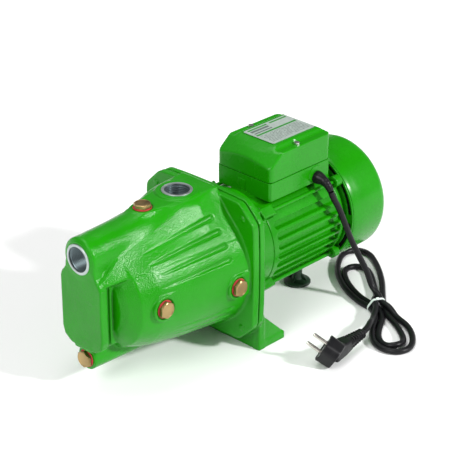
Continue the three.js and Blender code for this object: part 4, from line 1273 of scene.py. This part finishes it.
def soften_edges(obj, width, segments=3):
    modifier = obj.modifiers.new("edges", "BEVEL")
    modifier.width = width * MM
    modifier.segments = segments
    modifier.limit_method = "ANGLE"
    modifier.angle_limit = math.radians(20)
    modifier.harden_normals = True


def corner_planes(x0, x1, half, amount):
    """Upright planes that cut the four corners of a box in plan."""
    planes = []
    for x, sx in ((x0, -1), (x1, 1)):
        for sy in (-1, 1):
            planes.append(((x - sx * amount, sy * half, 0), (sx, sy, 0)))
    return planes


def box_cover_field(x, y, z):
    x0, x1 = BOX_LOW[0], BOX_HIGH[0]
    half, top, ledge = BOX_HIGH[1], BOX_HIGH[2], 228.5
    middle, reach = (x0 + x1) / 2, (x1 - x0) / 2
    corner = (abs(y) + abs(x - middle) - (half + reach - 3.5)) / math.sqrt(2)
    body = keep(1.3, keep(3.0, abs(y) - half, x0 - x, x - x1, corner), z - ledge)
    plateau = keep(1.2, z - top, (abs(y) - 31 - (top - z) * 0.9) * 0.74, (z - top + 5 - (x1 - x) * 0.8) * 0.8)
    whole = join(1.2, body, keep(1.3, plateau, x0 - x, x - x1, 226 - z))
    slope = (z - 218 + 7.5 * (y / half) ** 2) * 0.78 - (x - x0) * 0.62
    brow = (z - 229.5) * 0.93 - (x - x0 - 17.5) * 0.37
    whole = keep(2.2, whole, slope, brow)
    scoop = np.sqrt((x - 93) ** 2 + (abs(y) - 40) ** 2) - 7.2 - np.clip(z - 229, 0, 6) * 0.5
    whole = keep(0.8, whole, -keep(1.0, scoop, 228.6 - z))
    return keep(0.3, whole, BOX_SEAM_Z + 0.9 - z)


def make_terminal_box():
    x0, x1 = BOX_LOW[0], BOX_HIGH[0]
    half = BOX_HIGH[1]
    base = cut_block((x0, -half, BOX_BOTTOM_Z), (x1, half, BOX_SEAM_Z), corner_planes(x0, x1, half, 3))
    mesh = bmesh_to_mesh("box_base", base)
    obj = place("box_base_shell", mesh, "moulded", replaces=("terminal_box_base",))
    soften_edges(obj, 0.8)

    tab = cut_block((x0 - 1.1, -4, 170), (x0 + 1, 8, 186.6), [])
    soften_edges(place("box_tab", bmesh_to_mesh("tab", tab), "moulded"), 0.8)
    seat = [(0, 0), (12.0, 0), (12.0, 0.5), (11.4, 1.1), (0, 1.3)]
    place("gland_seat", lathe("seat", seat, (GLAND[0] - 1, -half, 180), (0, -1, 0), 48), "moulded")

    low, high = (x0, -half, BOX_SEAM_Z), (x1, half, BOX_HIGH[2])
    carved("box_cover_shell", "terminal_box_cover", "moulded", box_cover_field, low, high, 0.8)


make_terminal_box()

# ---- looks of the CAD nodes that stay

CAD_LOOKS = {
    "die_cast": "casing_bolt_1 casing_bolt_2 casing_bolt_3 casing_bolt_4",
    "resin": "ejector_nozzle venturi_tube diffuser",
    "gasket": "venturi_o_ring terminal_box_gasket",
    "brass": "impeller",
    "steel": "impeller_nut shaft front_bearing_outer front_bearing_inner "
             "rear_bearing_outer rear_bearing_inner",
    "carbon": "seal_head",
    "ceramic": "seal_seat",
    "lamination": "rotor stator_core",
    "copper": "stator_winding",
    "fan": "cooling_fan",
    "zinc": "fan_cover_screw_1 fan_cover_screw_2 fan_cover_screw_3 terminal_box_screw_1 terminal_box_screw_2",
    "plate": "rating_plate",
    "white": "run_capacitor terminal_block",
}
for look_name, nodes in CAD_LOOKS.items():
    for node_name in nodes.split():
        cad_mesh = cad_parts[node_name].data
        cad_mesh.materials.clear()
        cad_mesh.materials.append(LOOKS[look_name])

# ---- floor and light


def make_floor():
    bm = bmesh.new()
    bmesh.ops.create_grid(bm, x_segments=1, y_segments=1, size=40)
    mesh = bpy.data.meshes.new("floor")
    bm.to_mesh(mesh)
    bm.free()
    floor = in_scene(bpy.data.objects.new("floor", mesh))
    n = Nodes("pale_floor")
    n.colour(n.noise(3, 2), [(0.3, (0.93,) * 3), (0.7, (0.95,) * 3)])
    n.set(Roughness=0.7)
    mesh.materials.append(n.material)


def make_surroundings():
    """A pale horizon, with soft light and dark patches above it for the metals to reflect."""
    world = bpy.data.worlds.new("studio")
    world.use_nodes = True
    tree = world.node_tree
    coords = new_node(tree, "TexCoord").outputs["Generated"]
    patches = new_node(tree, "TexNoise", Vector=coords, Scale=2.2, Detail=0.5).outputs["Fac"]
    ramp = new_node(tree, "ValToRGB", Fac=patches)
    for element, at, grey in zip(ramp.color_ramp.elements, (0.42, 0.58), (0.16, 0.8)):
        element.position = at
        element.color = (grey, grey, grey, 1)
    height = new_node(tree, "SeparateXYZ", Vector=coords).outputs["Z"]
    above = new_node(tree, "MapRange", Value=height, From_Min=0.08, From_Max=0.3)
    mix = new_node(tree, "Mix")
    mix.data_type = "RGBA"
    mix.inputs[6].default_value = (0.85, 0.85, 0.85, 1)
    tree.links.new(above.outputs["Result"], mix.inputs[0])
    tree.links.new(ramp.outputs["Color"], mix.inputs[7])
    background = tree.nodes["Background"]
    background.inputs["Strength"].default_value = 0.55
    tree.links.new(mix.outputs[2], background.inputs["Color"])
    bpy.context.scene.world = world


def make_lamps():
    # towards each lamp, strength, angular size in degrees
    lamps = [
        ("key", (0.29, -0.80, 0.52), 3.2, 6),
        ("left", (-0.75, -0.15, 0.62), 1.6, 30),
        ("top", (0.1, 0.25, 1.0), 1.2, 40),
    ]
    for name, towards, strength, spread in lamps:
        light = bpy.data.lights.new(name, "SUN")
        light.energy = strength
        light.angle = math.radians(spread)
        obj = in_scene(bpy.data.objects.new(name, light))
        obj.rotation_euler = Vector(towards).to_track_quat("Z", "Y").to_euler()


make_floor()
make_surroundings()
make_lamps()
bpy.context.scene.view_settings.view_transform = "Standard"
